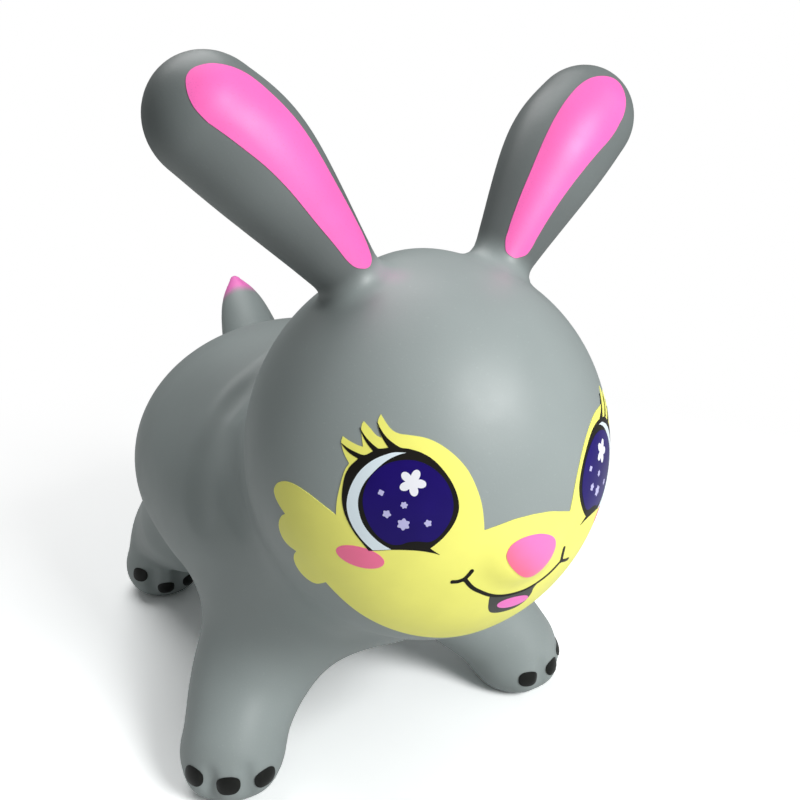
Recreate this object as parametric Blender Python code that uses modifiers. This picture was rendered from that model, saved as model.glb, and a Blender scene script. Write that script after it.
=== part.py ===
"""Animal hopper: an air-filled rabbit that a small child sits on and bounces.

The skin is one rotocast moulding. It is modelled in the zones that its moulded creases
mark out, each a thin shell that opens into the next, and a push-in plug closes the air
valve under the rump. The rabbit faces -Y and stands on its four soles at z = 0.
"""

import math
from collections import namedtuple

import bmesh
import bpy
from mathutils import Matrix, Vector

# Skin
WALL = 0.0020
ZONE_GAP = 0.0003

# Body, an egg lying along Y, whose front end dips through the shoulders to a blunt chest
BODY_WIDTH = 0.320
BODY_HEIGHT = 0.252
BELLY_CLEARANCE = 0.080
RUMP_LENGTH = 0.187
SHOULDER_AHEAD = 0.130
SHOULDER_DROP = 0.018
SHOULDER_RADIUS = 0.1085
CHEST_AHEAD = 0.192
CHEST_DROP = 0.036
CHEST_RADIUS = 0.062
CHEST_REACH = 0.022

# Head, ahead of the body and above it
HEAD_WIDTH = 0.260
HEAD_DEPTH = 0.243
HEAD_HEIGHT = 0.274
HEAD_AHEAD = 0.215
CHIN_CLEARANCE = 0.1485

# Nose, a low button on the front of the head
NOSE_WIDTH = 0.037
NOSE_HEIGHT = 0.030
NOSE_DEPTH = 0.018
NOSE_STANDOUT = 0.005
NOSE_DROP = 0.030

# Ears, clubs that lean out from the crown
EAR_ROOT_ANGLE = math.radians(25.4)
EAR_LEAN = math.radians(40.0)
EAR_SWEEP_BACK = math.radians(8.4)
EAR_LENGTH = 0.167
EAR_ROOT_RADIUS = 0.0197
EAR_MID_RADIUS = 0.0375
EAR_TIP_RADIUS = 0.0373
EAR_MID_SHARE = 0.72
EAR_BEND = 0.0047
EAR_SUNK = 0.036

# Legs: where the hips lie from the middle of the body, and where the feet stand
FRONT_HIP_SPREAD = 0.154
FRONT_HIP_AHEAD = 0.1075
FRONT_HIP_DROP = 0.088
FRONT_FOOT_SPREAD = 0.274
FRONT_FOOT_AHEAD = 0.147
FRONT_FOOT_RADIUS = 0.039
HIND_HIP_SPREAD = 0.154
HIND_HIP_BEHIND = 0.093
HIND_HIP_DROP = 0.086
HIND_FOOT_SPREAD = 0.219
HIND_FOOT_BEHIND = 0.1825
HIND_FOOT_RADIUS = 0.038
HIP_RADIUS = 0.064
KNEE_RADIUS = 0.050
KNEE_SHARE = 0.55
KNEE_TUCK = 0.009
ANKLE_HEIGHT = 0.040
SOLE_ROUND = 0.026

# Toes, three low balls on the front of each foot
TOE_COUNT = 3
TOE_RADIUS = 0.0175
TOE_STANDOUT = 0.0035
TOE_LIFT = 0.0080
TOE_SPACING = math.radians(41.0)
TOE_TURN = math.radians(27.0)

# Tail, a short cone on the rump
TAIL_ANGLE = math.radians(36.0)
TAIL_RISE = math.radians(50.0)
TAIL_LENGTH = 0.084
TAIL_ROOT_RADIUS = 0.036
TAIL_MID_RADIUS = 0.0270
TAIL_MID_SHARE = 0.50
TAIL_TIP_RADIUS = 0.006
TAIL_SUNK = 0.025

# Air valve: a collar moulded in the skin under the rump, and its plug
VALVE_ANGLE = math.radians(35.0)
COLLAR_RADIUS = 0.0120
COLLAR_STANDOUT = 0.0015
COLLAR_DEPTH = 0.0120
PLUG_STEM_RADIUS = 0.0042
PLUG_TIP_RADIUS = 0.0034
PLUG_STEM_LENGTH = 0.0220
PLUG_RIB_COUNT = 3
PLUG_RIB_PITCH = 0.0036
PLUG_RIB_HEIGHT = 0.0006
PLUG_FLANGE_RADIUS = 0.0100
PLUG_FLANGE_THICKNESS = 0.0024
PLUG_EDGE_ROUND = 0.0010
PLUG_CLEARANCE = 0.0003

# Facets of the skin's outside, and of the plainer space inside it
Detail = namedtuple("Detail", "segments rings sides steps dome")
OUTSIDE = Detail(segments=36, rings=20, sides=20, steps=3, dome=5)
INSIDE = Detail(segments=20, rings=12, sides=12, steps=2, dome=3)
SMALL_SEGMENTS = 12
SMALL_RINGS = 8
VALVE_SIDES = 20
EDGE_STEPS = 3
POLE_ANGLE = math.radians(87.0)
WELD = 0.00005

GREY = (0.270, 0.300, 0.300)
WHITE = (0.85, 0.85, 0.83)
SKIN_ROUGHNESS = 0.45
PLUG_ROUGHNESS = 0.40

Leg = namedtuple("Leg", "name hip foot foot_radius knee_tuck toe_turn")


def clear_scene():
    for item in list(bpy.data.objects):
        bpy.data.objects.remove(item)


def new_collection(name):
    group = bpy.data.collections.new(name)
    bpy.context.scene.collection.children.link(group)
    return group


def plastic(name, colour, roughness):
    """A plain coloured plastic."""
    material = bpy.data.materials.new(name)
    material.use_nodes = True
    shader = material.node_tree.nodes["Principled BSDF"]
    shader.inputs["Base Color"].default_value = (*colour, 1.0)
    shader.inputs["Roughness"].default_value = roughness
    shader.inputs["Metallic"].default_value = 0.0
    return material


def mesh_from(name, bm):
    """A smooth-shaded mesh from a bmesh, which is freed."""
    mesh = bpy.data.meshes.new(name)
    bm.to_mesh(mesh)
    bm.free()
    mesh.shade_smooth()
    return mesh


def add_part(name, mesh, material, group):
    mesh.materials.append(material)
    item = bpy.data.objects.new(name, mesh)
    group.objects.link(item)
    return item


def add_cutter(mesh, group):
    item = bpy.data.objects.new(mesh.name, mesh)
    item.hide_render = True
    item.display_type = "WIRE"
    group.objects.link(item)
    return item


def combine(item, operation, others):
    """Add one exact Boolean to item for each of the others."""
    for other in others:
        modifier = item.modifiers.new(other.name, "BOOLEAN")
        modifier.operation = operation
        modifier.solver = "EXACT"
        modifier.object = other


def station(place, radius):
    """A point of a limb's axis with the limb's radius there."""
    return Vector((*place, radius))


def smooth_run(stations, steps, lead_in=None):
    """Stations along a smooth curve through the given ones, which sets out as if from lead_in."""
    before_first = lead_in or 2.0 * stations[0] - stations[1]
    after_last = 2.0 * stations[-1] - stations[-2]
    padded = [before_first, *stations, after_last]
    run = []
    for before, start, end, after in zip(padded, padded[1:], padded[2:], padded[3:]):
        slope = end - before
        bow = 2.0 * before - 5.0 * start + 4.0 * end - after
        twist = 3.0 * start - before - 3.0 * end + after
        for step in range(steps):
            t = step / steps
            run.append(0.5 * (2.0 * start + slope * t + bow * t**2 + twist * t**3))
    run.append(stations[-1])
    return run


def grown(run, grow):
    """The same run with its surface moved out by grow."""
    return [station(point.xyz, point.w + grow) for point in run]


def dome(centre, reach, radius, rings):
    """Stations that close a limb with half an egg, which stands out from centre by reach."""
    run = []
    for ring in range(1, rings + 1):
        angle = POLE_ANGLE * ring / rings
        run.append(station(centre + reach * math.sin(angle), radius * math.cos(angle)))
    return run


def lofted(name, run, axis, sides):
    """A closed form through rings that all lie square to the axis, one at each station."""
    bm = bmesh.new()
    square = axis.to_track_quat("Z", "Y").to_matrix().to_4x4()
    rings = []
    for place in run:
        matrix = Matrix.Translation(place.xyz) @ square
        circle = bmesh.ops.create_circle(bm, segments=sides, radius=place.w, matrix=matrix)
        rings.append(circle["verts"])
    for lower, upper in zip(rings, rings[1:]):
        for corner in range(sides):
            bm.faces.new((lower[corner - 1], lower[corner], upper[corner], upper[corner - 1]))
    bm.faces.new(rings[0])
    bm.faces.new(rings[-1])
    bmesh.ops.recalc_face_normals(bm, faces=bm.faces)
    return mesh_from(name, bm)


def ball(bm, centre, size, segments, rings):
    """Add an ellipsoid of the given full size to a bmesh."""
    stretch = Matrix.Diagonal(0.5 * Vector(size)).to_4x4()
    place = Matrix.Translation(centre) @ stretch
    bmesh.ops.create_uvsphere(bm, u_segments=segments, v_segments=rings, radius=1.0, matrix=place)


def nose_front():
    """How far the tip of the nose lies ahead of the middle of the head."""
    height = NOSE_DROP / (0.5 * HEAD_HEIGHT)
    return 0.5 * HEAD_DEPTH * math.sqrt(1.0 - height**2) + NOSE_STANDOUT


def body_middle():
    """Middle of the body, placed so that the whole length is centred on y = 0."""
    front = HEAD_AHEAD + max(0.5 * HEAD_DEPTH, nose_front())
    rear = max(RUMP_LENGTH, HIND_FOOT_BEHIND + HIND_FOOT_RADIUS)
    return Vector((0.0, 0.5 * (front - rear), BELLY_CLEARANCE + 0.5 * BODY_HEIGHT))


def head_middle():
    return Vector((0.0, body_middle().y - HEAD_AHEAD, CHIN_CLEARANCE + 0.5 * HEAD_HEIGHT))


def legs():
    """The four legs, the rabbit's left at +X."""
    middle = body_middle()
    layout = []
    tuck = Vector((0.0, KNEE_TUCK, 0.0))
    for label, side in (("left", 1.0), ("right", -1.0)):
        front_hip = middle + Vector((0.5 * side * FRONT_HIP_SPREAD, -FRONT_HIP_AHEAD, -FRONT_HIP_DROP))
        front_foot = Vector((0.5 * side * FRONT_FOOT_SPREAD, middle.y - FRONT_FOOT_AHEAD, 0.0))
        hind_hip = middle + Vector((0.5 * side * HIND_HIP_SPREAD, HIND_HIP_BEHIND, -HIND_HIP_DROP))
        hind_foot = Vector((0.5 * side * HIND_FOOT_SPREAD, middle.y + HIND_FOOT_BEHIND, 0.0))
        turn = side * TOE_TURN
        layout.append(Leg(f"front_{label}_leg", front_hip, front_foot, FRONT_FOOT_RADIUS, tuck, turn))
        layout.append(Leg(f"hind_{label}_leg", hind_hip, hind_foot, HIND_FOOT_RADIUS, -tuck, turn))
    return layout


def body_form(name, grow, detail):
    """The rump's half egg, run on through the shoulders to the chest's low dome."""
    middle = body_middle()
    high = 0.5 * BODY_HEIGHT
    shoulder = middle - Vector((0.0, SHOULDER_AHEAD, SHOULDER_DROP))
    chest = middle - Vector((0.0, CHEST_AHEAD, CHEST_DROP))
    barrel = [station(middle, high), station(shoulder, SHOULDER_RADIUS), station(chest, CHEST_RADIUS)]
    rump_reach = Vector((0.0, RUMP_LENGTH + grow, 0.0))
    chest_reach = Vector((0.0, -CHEST_REACH - grow, 0.0))
    run = dome(middle, rump_reach, high + grow, 2 * detail.dome)[::-1]
    behind = station(middle + Vector((0.0, SHOULDER_AHEAD, 0.0)), SHOULDER_RADIUS)
    run += grown(smooth_run(barrel, 2 * detail.steps, behind), grow)
    run += dome(chest, chest_reach, CHEST_RADIUS + grow, detail.dome)
    mesh = lofted(name, run, chest_reach, detail.segments)
    widen = (0.5 * BODY_WIDTH + grow) / (high + grow)
    mesh.transform(Matrix.Diagonal((widen, 1.0, 1.0, 1.0)))
    return mesh


def head_form(name, grow, detail):
    bm = bmesh.new()
    size = Vector((HEAD_WIDTH, HEAD_DEPTH, HEAD_HEIGHT)) + Vector((2.0 * grow,) * 3)
    ball(bm, head_middle(), size, detail.segments, detail.rings)
    return mesh_from(name, bm)


def nose_form(name):
    bm = bmesh.new()
    centre = head_middle() - Vector((0.0, nose_front() - 0.5 * NOSE_DEPTH, NOSE_DROP))
    ball(bm, centre, (NOSE_WIDTH, NOSE_DEPTH, NOSE_HEIGHT), SMALL_SEGMENTS, SMALL_RINGS)
    return mesh_from(name, bm)


def ear_form(name, side, grow, detail):
    """A club from inside the crown to a round tip, bowed toward the other ear."""
    across = 0.5 * HEAD_WIDTH * math.sin(EAR_ROOT_ANGLE)
    rise = 0.5 * HEAD_HEIGHT * math.cos(EAR_ROOT_ANGLE)
    root = head_middle() + Vector((side * across, 0.0, rise))
    lean = Vector((side * math.sin(EAR_LEAN), math.tan(EAR_SWEEP_BACK), math.cos(EAR_LEAN)))
    heading = lean.normalized()
    bow = Vector((-side * math.cos(EAR_LEAN), 0.0, math.sin(EAR_LEAN))) * EAR_BEND
    tip = root + heading * (EAR_LENGTH - EAR_TIP_RADIUS)
    middle = root.lerp(tip, EAR_MID_SHARE) + bow
    club = [
        station(root - heading * EAR_SUNK - bow, EAR_ROOT_RADIUS),
        station(root, EAR_ROOT_RADIUS),
        station(middle, EAR_MID_RADIUS),
        station(tip, EAR_TIP_RADIUS),
    ]
    tip_radius = EAR_TIP_RADIUS + grow
    run = grown(smooth_run(club, detail.steps + 1), grow)
    run += dome(tip, heading * tip_radius, tip_radius, detail.dome)
    return lofted(name, run, heading, detail.sides)


def leg_form(name, leg, grow, detail):
    """A leg from a round hip inside the body, by a knee drawn in under it, to a round ankle."""
    ankle = leg.foot + Vector((0.0, 0.0, ANKLE_HEIGHT))
    knee = leg.hip.lerp(ankle, KNEE_SHARE) + leg.knee_tuck
    limb = [station(leg.hip, HIP_RADIUS), station(knee, KNEE_RADIUS), station(ankle, leg.foot_radius)]
    axis = (ankle - leg.hip).normalized()
    hip_radius = HIP_RADIUS + grow
    ankle_radius = leg.foot_radius + grow
    run = dome(leg.hip, axis * -hip_radius, hip_radius, detail.dome)[::-1]
    run += grown(smooth_run(limb, detail.steps), grow)
    run += dome(ankle, axis * ankle_radius, ankle_radius, detail.dome)
    return lofted(name, run, axis, detail.sides)


def foot_form(name, leg, grow, detail):
    """A round-edged pebble, whose flat underside is the sole."""
    edge = SOLE_ROUND + grow
    rings = 2 * detail.dome
    run = []
    for ring in range(rings + 1):
        angle = math.pi * (0.5 - ring / rings)
        height = SOLE_ROUND + edge * math.sin(angle)
        radius = leg.foot_radius - SOLE_ROUND + edge * math.cos(angle)
        run.append(station((leg.foot.x, leg.foot.y, height), radius))
    return lofted(name, run, Vector((0.0, 0.0, -1.0)), detail.sides)


def toe_form(name, leg, toe):
    """One toe ball, counted from the rabbit's right to its left."""
    bm = bmesh.new()
    angle = leg.toe_turn + (toe - 0.5 * (TOE_COUNT - 1)) * TOE_SPACING
    out = leg.foot_radius + TOE_STANDOUT - TOE_RADIUS
    centre = leg.foot + Vector((out * math.sin(angle), -out * math.cos(angle), TOE_RADIUS + TOE_LIFT))
    ball(bm, centre, (2.0 * TOE_RADIUS,) * 3, SMALL_SEGMENTS, SMALL_RINGS)
    return mesh_from(name, bm)


def tail_form(name, grow, detail):
    """A cone with a small round tip, from inside the rump."""
    back = RUMP_LENGTH * math.cos(TAIL_ANGLE)
    rise = 0.5 * BODY_HEIGHT * math.sin(TAIL_ANGLE)
    root = body_middle() + Vector((0.0, back, rise))
    heading = Vector((0.0, math.cos(TAIL_RISE), math.sin(TAIL_RISE)))
    tip = root + heading * (TAIL_LENGTH - TAIL_TIP_RADIUS)
    cone = [
        station(root - heading * TAIL_SUNK, TAIL_ROOT_RADIUS),
        station(root.lerp(tip, TAIL_MID_SHARE), TAIL_MID_RADIUS),
        station(tip, TAIL_TIP_RADIUS),
    ]
    tip_radius = TAIL_TIP_RADIUS + grow
    run = grown(smooth_run(cone, detail.steps), grow)
    run += dome(tip, heading * tip_radius, tip_radius, detail.dome)
    return lofted(name, run, heading, detail.sides)


def valve_frame():
    """Frame of the valve: its origin on the collar's outer face, its +Z the way the plug pulls out."""
    back = math.cos(VALVE_ANGLE)
    down = math.sin(VALVE_ANGLE)
    seat = body_middle() + Vector((0.0, RUMP_LENGTH * back, -0.5 * BODY_HEIGHT * down))
    outward = Vector((0.0, back / RUMP_LENGTH, -down / (0.5 * BODY_HEIGHT))).normalized()
    turn = outward.to_track_quat("Z", "X").to_matrix().to_4x4()
    return Matrix.Translation(seat + outward * COLLAR_STANDOUT) @ turn


def valve_rod(name, radius, top, bottom):
    """A round bar along the valve's axis."""
    bm = bmesh.new()
    middle = Matrix.Translation((0.0, 0.0, 0.5 * (top + bottom)))
    bmesh.ops.create_cone(
        bm,
        cap_ends=True,
        segments=VALVE_SIDES,
        radius1=radius,
        radius2=radius,
        depth=top - bottom,
        matrix=valve_frame() @ middle,
    )
    return mesh_from(name, bm)


def plug_profile():
    """Half section of the plug, from the top of its flange down to the tip of its stem."""
    seat = PLUG_CLEARANCE
    top = seat + PLUG_FLANGE_THICKNESS
    inner = PLUG_FLANGE_RADIUS - PLUG_EDGE_ROUND
    points = [(0.0, top)]
    for corner in range(EDGE_STEPS + 1):
        angle = 0.5 * math.pi * corner / EDGE_STEPS
        rise = PLUG_EDGE_ROUND * math.cos(angle)
        points.append((inner + PLUG_EDGE_ROUND * math.sin(angle), top - PLUG_EDGE_ROUND + rise))
    points.append((PLUG_FLANGE_RADIUS, seat))
    points.append((PLUG_STEM_RADIUS, seat))
    for rib in range(PLUG_RIB_COUNT):
        crest = -PLUG_RIB_PITCH * (rib + 0.5)
        points.append((PLUG_STEM_RADIUS, crest + PLUG_RIB_HEIGHT))
        points.append((PLUG_STEM_RADIUS + PLUG_RIB_HEIGHT, crest))
        points.append((PLUG_STEM_RADIUS, crest - PLUG_RIB_HEIGHT))
    points.append((PLUG_TIP_RADIUS, -PLUG_STEM_LENGTH))
    points.append((0.0, -PLUG_STEM_LENGTH))
    return points


def add_plug(group):
    """The push-in plug, turned about its own Z, which is the axis that it slides on."""
    mesh = bpy.data.meshes.new("air_plug")
    points = [(radius, 0.0, height) for radius, height in plug_profile()]
    edges = [(index, index + 1) for index in range(len(points) - 1)]
    mesh.from_pydata(points, edges, [])
    plug = add_part("air_plug", mesh, plastic("plug_white", WHITE, PLUG_ROUGHNESS), group)
    plug.matrix_world = valve_frame()
    screw = plug.modifiers.new("turned", "SCREW")
    screw.axis = "Z"
    screw.steps = VALVE_SIDES
    screw.render_steps = VALVE_SIDES
    screw.use_merge_vertices = True
    screw.merge_threshold = WELD
    screw.use_smooth_shade = False


def main():
    clear_scene()
    parts = new_collection("animal_hopper")
    cutters = new_collection("cutters")

    def zone(name, mesh):
        return add_part(name, mesh, plastic(name + "_vinyl", GREY, SKIN_ROUGHNESS), parts)

    def hollow(mesh):
        return add_cutter(mesh, cutters)

    body = zone("body", body_form("body", 0.0, OUTSIDE))
    head = zone("head", head_form("head", 0.0, OUTSIDE))
    body_room = hollow(body_form("body_room", ZONE_GAP, OUTSIDE))
    head_room = hollow(head_form("head_room", ZONE_GAP, OUTSIDE))
    body_air = hollow(body_form("body_air", -WALL, INSIDE))
    head_air = hollow(head_form("head_air", -WALL, INSIDE))
    combine(head, "UNION", [hollow(nose_form("nose"))])
    combine(head, "DIFFERENCE", [body_room, head_air])
    combine(body, "DIFFERENCE", [body_air, head_air])

    for label, side in (("left", 1.0), ("right", -1.0)):
        ear = zone(f"{label}_ear", ear_form(f"{label}_ear", side, 0.0, OUTSIDE))
        ear_air = hollow(ear_form(f"{label}_ear_air", side, -WALL, INSIDE))
        combine(ear, "DIFFERENCE", [head_room, ear_air])
        combine(head, "DIFFERENCE", [ear_air])

    for leg in legs():
        limb = zone(leg.name, leg_form(leg.name, leg, 0.0, OUTSIDE))
        leg_air = hollow(leg_form(leg.name + "_air", leg, -WALL, INSIDE))
        foot = hollow(foot_form(leg.name + "_foot", leg, 0.0, OUTSIDE))
        foot_air = hollow(foot_form(leg.name + "_foot_air", leg, -WALL, INSIDE))
        toes = [hollow(toe_form(f"{leg.name}_toe_{toe}", leg, toe)) for toe in range(TOE_COUNT)]
        combine(limb, "UNION", [foot, *toes])
        combine(limb, "DIFFERENCE", [body_room, head_room, leg_air, foot_air])
        combine(body, "DIFFERENCE", [leg_air])

    tail = zone("tail", tail_form("tail", 0.0, OUTSIDE))
    tail_air = hollow(tail_form("tail_air", -WALL, INSIDE))
    combine(tail, "DIFFERENCE", [body_room, tail_air])
    combine(body, "DIFFERENCE", [tail_air])

    bore_radius = PLUG_STEM_RADIUS + PLUG_RIB_HEIGHT + PLUG_CLEARANCE
    collar = hollow(valve_rod("collar", COLLAR_RADIUS, 0.0, -COLLAR_STANDOUT - COLLAR_DEPTH))
    bore = hollow(valve_rod("bore", bore_radius, COLLAR_DEPTH, -2.0 * COLLAR_DEPTH))
    combine(body, "UNION", [collar])
    combine(body, "DIFFERENCE", [bore])
    add_plug(parts)


if __name__ == "__main__":
    main()
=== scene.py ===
"""Looks of the animal hopper: an air-filled vinyl rabbit with a printed face.

The nine moulded zones of the frame become one smooth inflated skin. The print of the face,
the insides of the ears and the nails lie on that skin as thin films of paint.
"""

import math
from collections import namedtuple
from functools import partial
from itertools import product

import bmesh
import bpy
import numpy as np
from bpy.props import FloatProperty, FloatVectorProperty, PointerProperty
from mathutils import Matrix, Vector
from mathutils.geometry import delaunay_2d_cdt


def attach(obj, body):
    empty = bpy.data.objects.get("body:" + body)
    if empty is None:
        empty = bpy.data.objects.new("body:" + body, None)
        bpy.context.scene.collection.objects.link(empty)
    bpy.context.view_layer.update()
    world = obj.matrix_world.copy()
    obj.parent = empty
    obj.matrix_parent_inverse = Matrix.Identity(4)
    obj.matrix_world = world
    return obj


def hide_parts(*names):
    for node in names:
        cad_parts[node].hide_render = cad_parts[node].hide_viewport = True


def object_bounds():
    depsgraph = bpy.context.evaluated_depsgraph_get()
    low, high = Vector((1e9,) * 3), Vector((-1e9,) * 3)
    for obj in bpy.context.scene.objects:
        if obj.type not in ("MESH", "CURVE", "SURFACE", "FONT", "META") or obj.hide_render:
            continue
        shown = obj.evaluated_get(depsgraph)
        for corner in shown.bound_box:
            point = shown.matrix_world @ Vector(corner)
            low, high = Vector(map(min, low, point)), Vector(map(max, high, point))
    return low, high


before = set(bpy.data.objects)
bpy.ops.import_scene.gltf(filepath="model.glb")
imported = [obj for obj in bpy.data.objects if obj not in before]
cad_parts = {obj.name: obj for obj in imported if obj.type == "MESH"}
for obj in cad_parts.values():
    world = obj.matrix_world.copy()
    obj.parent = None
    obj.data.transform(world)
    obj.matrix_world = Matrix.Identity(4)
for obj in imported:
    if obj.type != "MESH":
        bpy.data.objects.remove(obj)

bl_info = {
    "name": "Animal hopper",
    "version": (1, 0, 0),
    "blender": (4, 5, 0),
    "location": "View3D > Sidebar > Hopper",
    "description": "Dresses the packed animal hopper with its skin, print and stage",
    "category": "Object",
}

CAD_BOX = [list(corner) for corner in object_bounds()]
MM = 0.001
SIDES = {"left": 1.0, "right": -1.0}

SKIN_NODES = [
    "body",
    "head",
    "left_ear",
    "right_ear",
    "front_left_leg",
    "front_right_leg",
    "hind_left_leg",
    "hind_right_leg",
    "tail",
]

# Body, an egg lying along Y, whose front end dips to a rounder chest
BODY_MIDDLE = np.array((0.0, 0.0590, 0.2060))
BODY_WIDTH = 0.320
BODY_HEIGHT = 0.252
RUMP_LENGTH = 0.187
WAIST = np.array((0.0, -0.0040, 0.2000))
WAIST_RADIUS = 0.121
CHEST = np.array((0.0, -0.0610, 0.1860))
CHEST_RADIUS = 0.101

# Head and the button of the nose
HEAD_MIDDLE = np.array((0.0, -0.1560, 0.2855))
HEAD_HALF = np.array((0.1300, 0.1215, 0.1370))
NOSE_MIDDLE = np.array((0.0, -0.2690, 0.2555))
NOSE_HALF = np.array((0.0185, 0.0090, 0.0150))
CROWN_BUMP = np.array((0.0, -0.1420, 0.4000))
CROWN_HALF = np.array((0.0320, 0.0340, 0.0200))

# Folds of the stretched neck: the radius of the balls that press in, and their middles on the rabbit's
# right side. The left side has the mirror image.
NECK_FOLDS = [
    (0.0140, [
        (0.0000, 0.0021, 0.3385), (-0.0370, -0.0007, 0.3339), (-0.0662, -0.0090, 0.3225),
        (-0.0779, -0.0135, 0.3148), (-0.0896, -0.0174, 0.3066), (-0.1013, -0.0218, 0.2989),
        (-0.1127, -0.0275, 0.2905), (-0.1239, -0.0335, 0.2800), (-0.1337, -0.0383, 0.2685),
        (-0.1414, -0.0438, 0.2565), (-0.1480, -0.0508, 0.2408), (-0.1526, -0.0591, 0.2235),
    ]),
    (0.0065, [
        (-0.1156, -0.0404, 0.2822), (-0.1178, -0.0494, 0.2719), (-0.1218, -0.0648, 0.2564),
        (-0.1235, -0.0767, 0.2443), (-0.1245, -0.0863, 0.2355), (-0.1264, -0.0953, 0.2262),
    ]),
]
FOLD_STEPS = 6

# Ears, clubs that lean out from the crown
EAR_ROOT = np.array((0.0558, -0.1560, 0.4093))
EAR_LEAN = math.radians(40.0)
EAR_SWEEP_BACK = math.radians(8.4)
EAR_LENGTH = 0.167
EAR_ROOT_RADIUS = 0.0197
EAR_MID_RADIUS = 0.0375
EAR_TIP_RADIUS = 0.0373
EAR_MID_SHARE = 0.72
EAR_BEND = 0.0047
EAR_SUNK = 0.036

# Legs and toes, given for the rabbit's left
FRONT_HIP = np.array((0.0770, -0.0485, 0.1180))
FRONT_FOOT = np.array((0.1370, -0.0880, 0.0))
FRONT_FOOT_RADIUS = 0.039
HIND_HIP = np.array((0.0860, 0.1560, 0.1200))
HIND_FOOT = np.array((0.1095, 0.2415, 0.0))
HIND_FOOT_RADIUS = 0.038
HIP_RADIUS = 0.059
FRONT_KNEE_RADIUS = 0.048
FRONT_KNEE_TUCK = 0.009
HIND_KNEE_RADIUS = 0.044
HIND_KNEE_TUCK = 0.022
KNEE_SHARE = 0.55
SOLE_ROUND = 0.026
TOE_COUNT = 3
TOE_RADIUS = 0.0175
TOE_STANDOUT = 0.0035
TOE_RISE = 0.0260
TOE_SPACING = math.radians(40.0)
FRONT_TOE_TURN = math.radians(23.5)
HIND_TOE_TURN = math.radians(12.0)
GROOVE_RADIUS = 0.0050
GROOVE_STANDOFF = 0.0046
GROOVE_FOOT = 0.006
GROOVE_RISE = 0.040

# Tail, a short cone on the rump
TAIL_ROOT = np.array((0.0, 0.2103, 0.2801))
TAIL_RISE = math.radians(50.0)
TAIL_LENGTH = 0.084
TAIL_ROOT_RADIUS = 0.036
TAIL_MID_RADIUS = 0.0240
TAIL_TIP_RADIUS = 0.0055
TAIL_SUNK = 0.025

# Air valve
VALVE_SEAT = Vector((0.0, 0.213247, 0.132649))
VALVE_AXIS = Vector((0.0, 0.693387, -0.720565))
COLLAR_RADIUS = 0.0120
COLLAR_DEPTH = 0.0120
BORE_RADIUS = 0.0051
BORE_DEPTH = 0.0300
SOCKET_RADIUS = 0.0100
PLUG_STEM_RADIUS = 0.0042
PLUG_TIP_RADIUS = 0.0034
PLUG_STEM_LENGTH = 0.0220
PLUG_RIB_COUNT = 3
PLUG_RIB_PITCH = 0.0036
PLUG_RIB_HEIGHT = 0.0006
PLUG_FLANGE_RADIUS = 0.0100
PLUG_FLANGE_THICKNESS = 0.0024
PLUG_EDGE_ROUND = 0.0010
PLUG_GAP = 0.0003
PLUG_DISH_DEPTH = 0.0006
PLUG_DISH_RADIUS = 0.0045
PLUG_DISH_RIM = 0.0058
PLUG_WHITE = (0.78, 0.78, 0.75)
PLUG_STEPS = 5
COLLAR_ROUND = 0.0008
COLLAR_STEPS = 4
TURNED_SIDES = 64
SOCKET_PROFILE = [
    (0.0, COLLAR_DEPTH),
    (SOCKET_RADIUS, COLLAR_DEPTH),
    (SOCKET_RADIUS, -BORE_DEPTH),
    (0.0, -BORE_DEPTH),
]

# Face print, in millimetres on the head's chart: across from the middle line and up from the
# level of the middle of the head, measured along the surface. Each run ends at a sharp corner.
CHART_RADIUS = 128.0
MASK_RUNS = [
    [(1.5, -2.0), (-11, -2.3), (-22, -4.3), (-31, -6.2)],
    [(-31, -6.2), (-31.6, 0), (-33, 10), (-36, 20), (-40.5, 30), (-47, 38.5), (-55, 45.5), (-63, 49.8),
     (-72, 52), (-78, 53.2), (-82, 55.5), (-85, 59.5), (-87.8, 65.2)],
    [(-87.8, 65.2), (-89.6, 62.5), (-90.4, 58.5), (-88.8, 51.2)],
    [(-88.8, 51.2), (-92, 53), (-95.5, 57.5), (-98.8, 61.6)],
    [(-98.8, 61.6), (-100.3, 59.5), (-101, 55), (-100.6, 46.2)],
    [(-100.6, 46.2), (-104, 47.2), (-109, 49.8), (-113.2, 52.6)],
    [(-113.2, 52.6), (-114.4, 49), (-113.6, 44), (-112, 39.8), (-110, 36)],
    [(-110, 36), (-113.5, 30.5), (-117, 20), (-119.3, 10), (-120, 1.2)],
    [(-120, 1.2), (-130, 7.2), (-140, 12.6), (-150, 16.2), (-158, 16.8), (-165, 14.5), (-169.5, 10),
     (-171, 4.8), (-169, -1), (-164.5, -6.5), (-160.5, -10)],
    [(-160.5, -10), (-164.5, -14), (-167.3, -20), (-168, -27), (-165.5, -34.5), (-160, -39.3), (-152, -41)],
    [(-152, -41), (-154.3, -46), (-155, -52.5), (-153, -60), (-148.3, -66), (-142, -69), (-136, -68),
     (-131.5, -64), (-128, -60)],
    [(-128, -60), (-119, -69.5), (-110, -78.3), (-100, -86.5), (-88, -94.2), (-75, -101), (-60, -107.5),
     (-45, -112.6), (-30, -117), (-16, -119.8), (-3.8, -121)],
]
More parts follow.
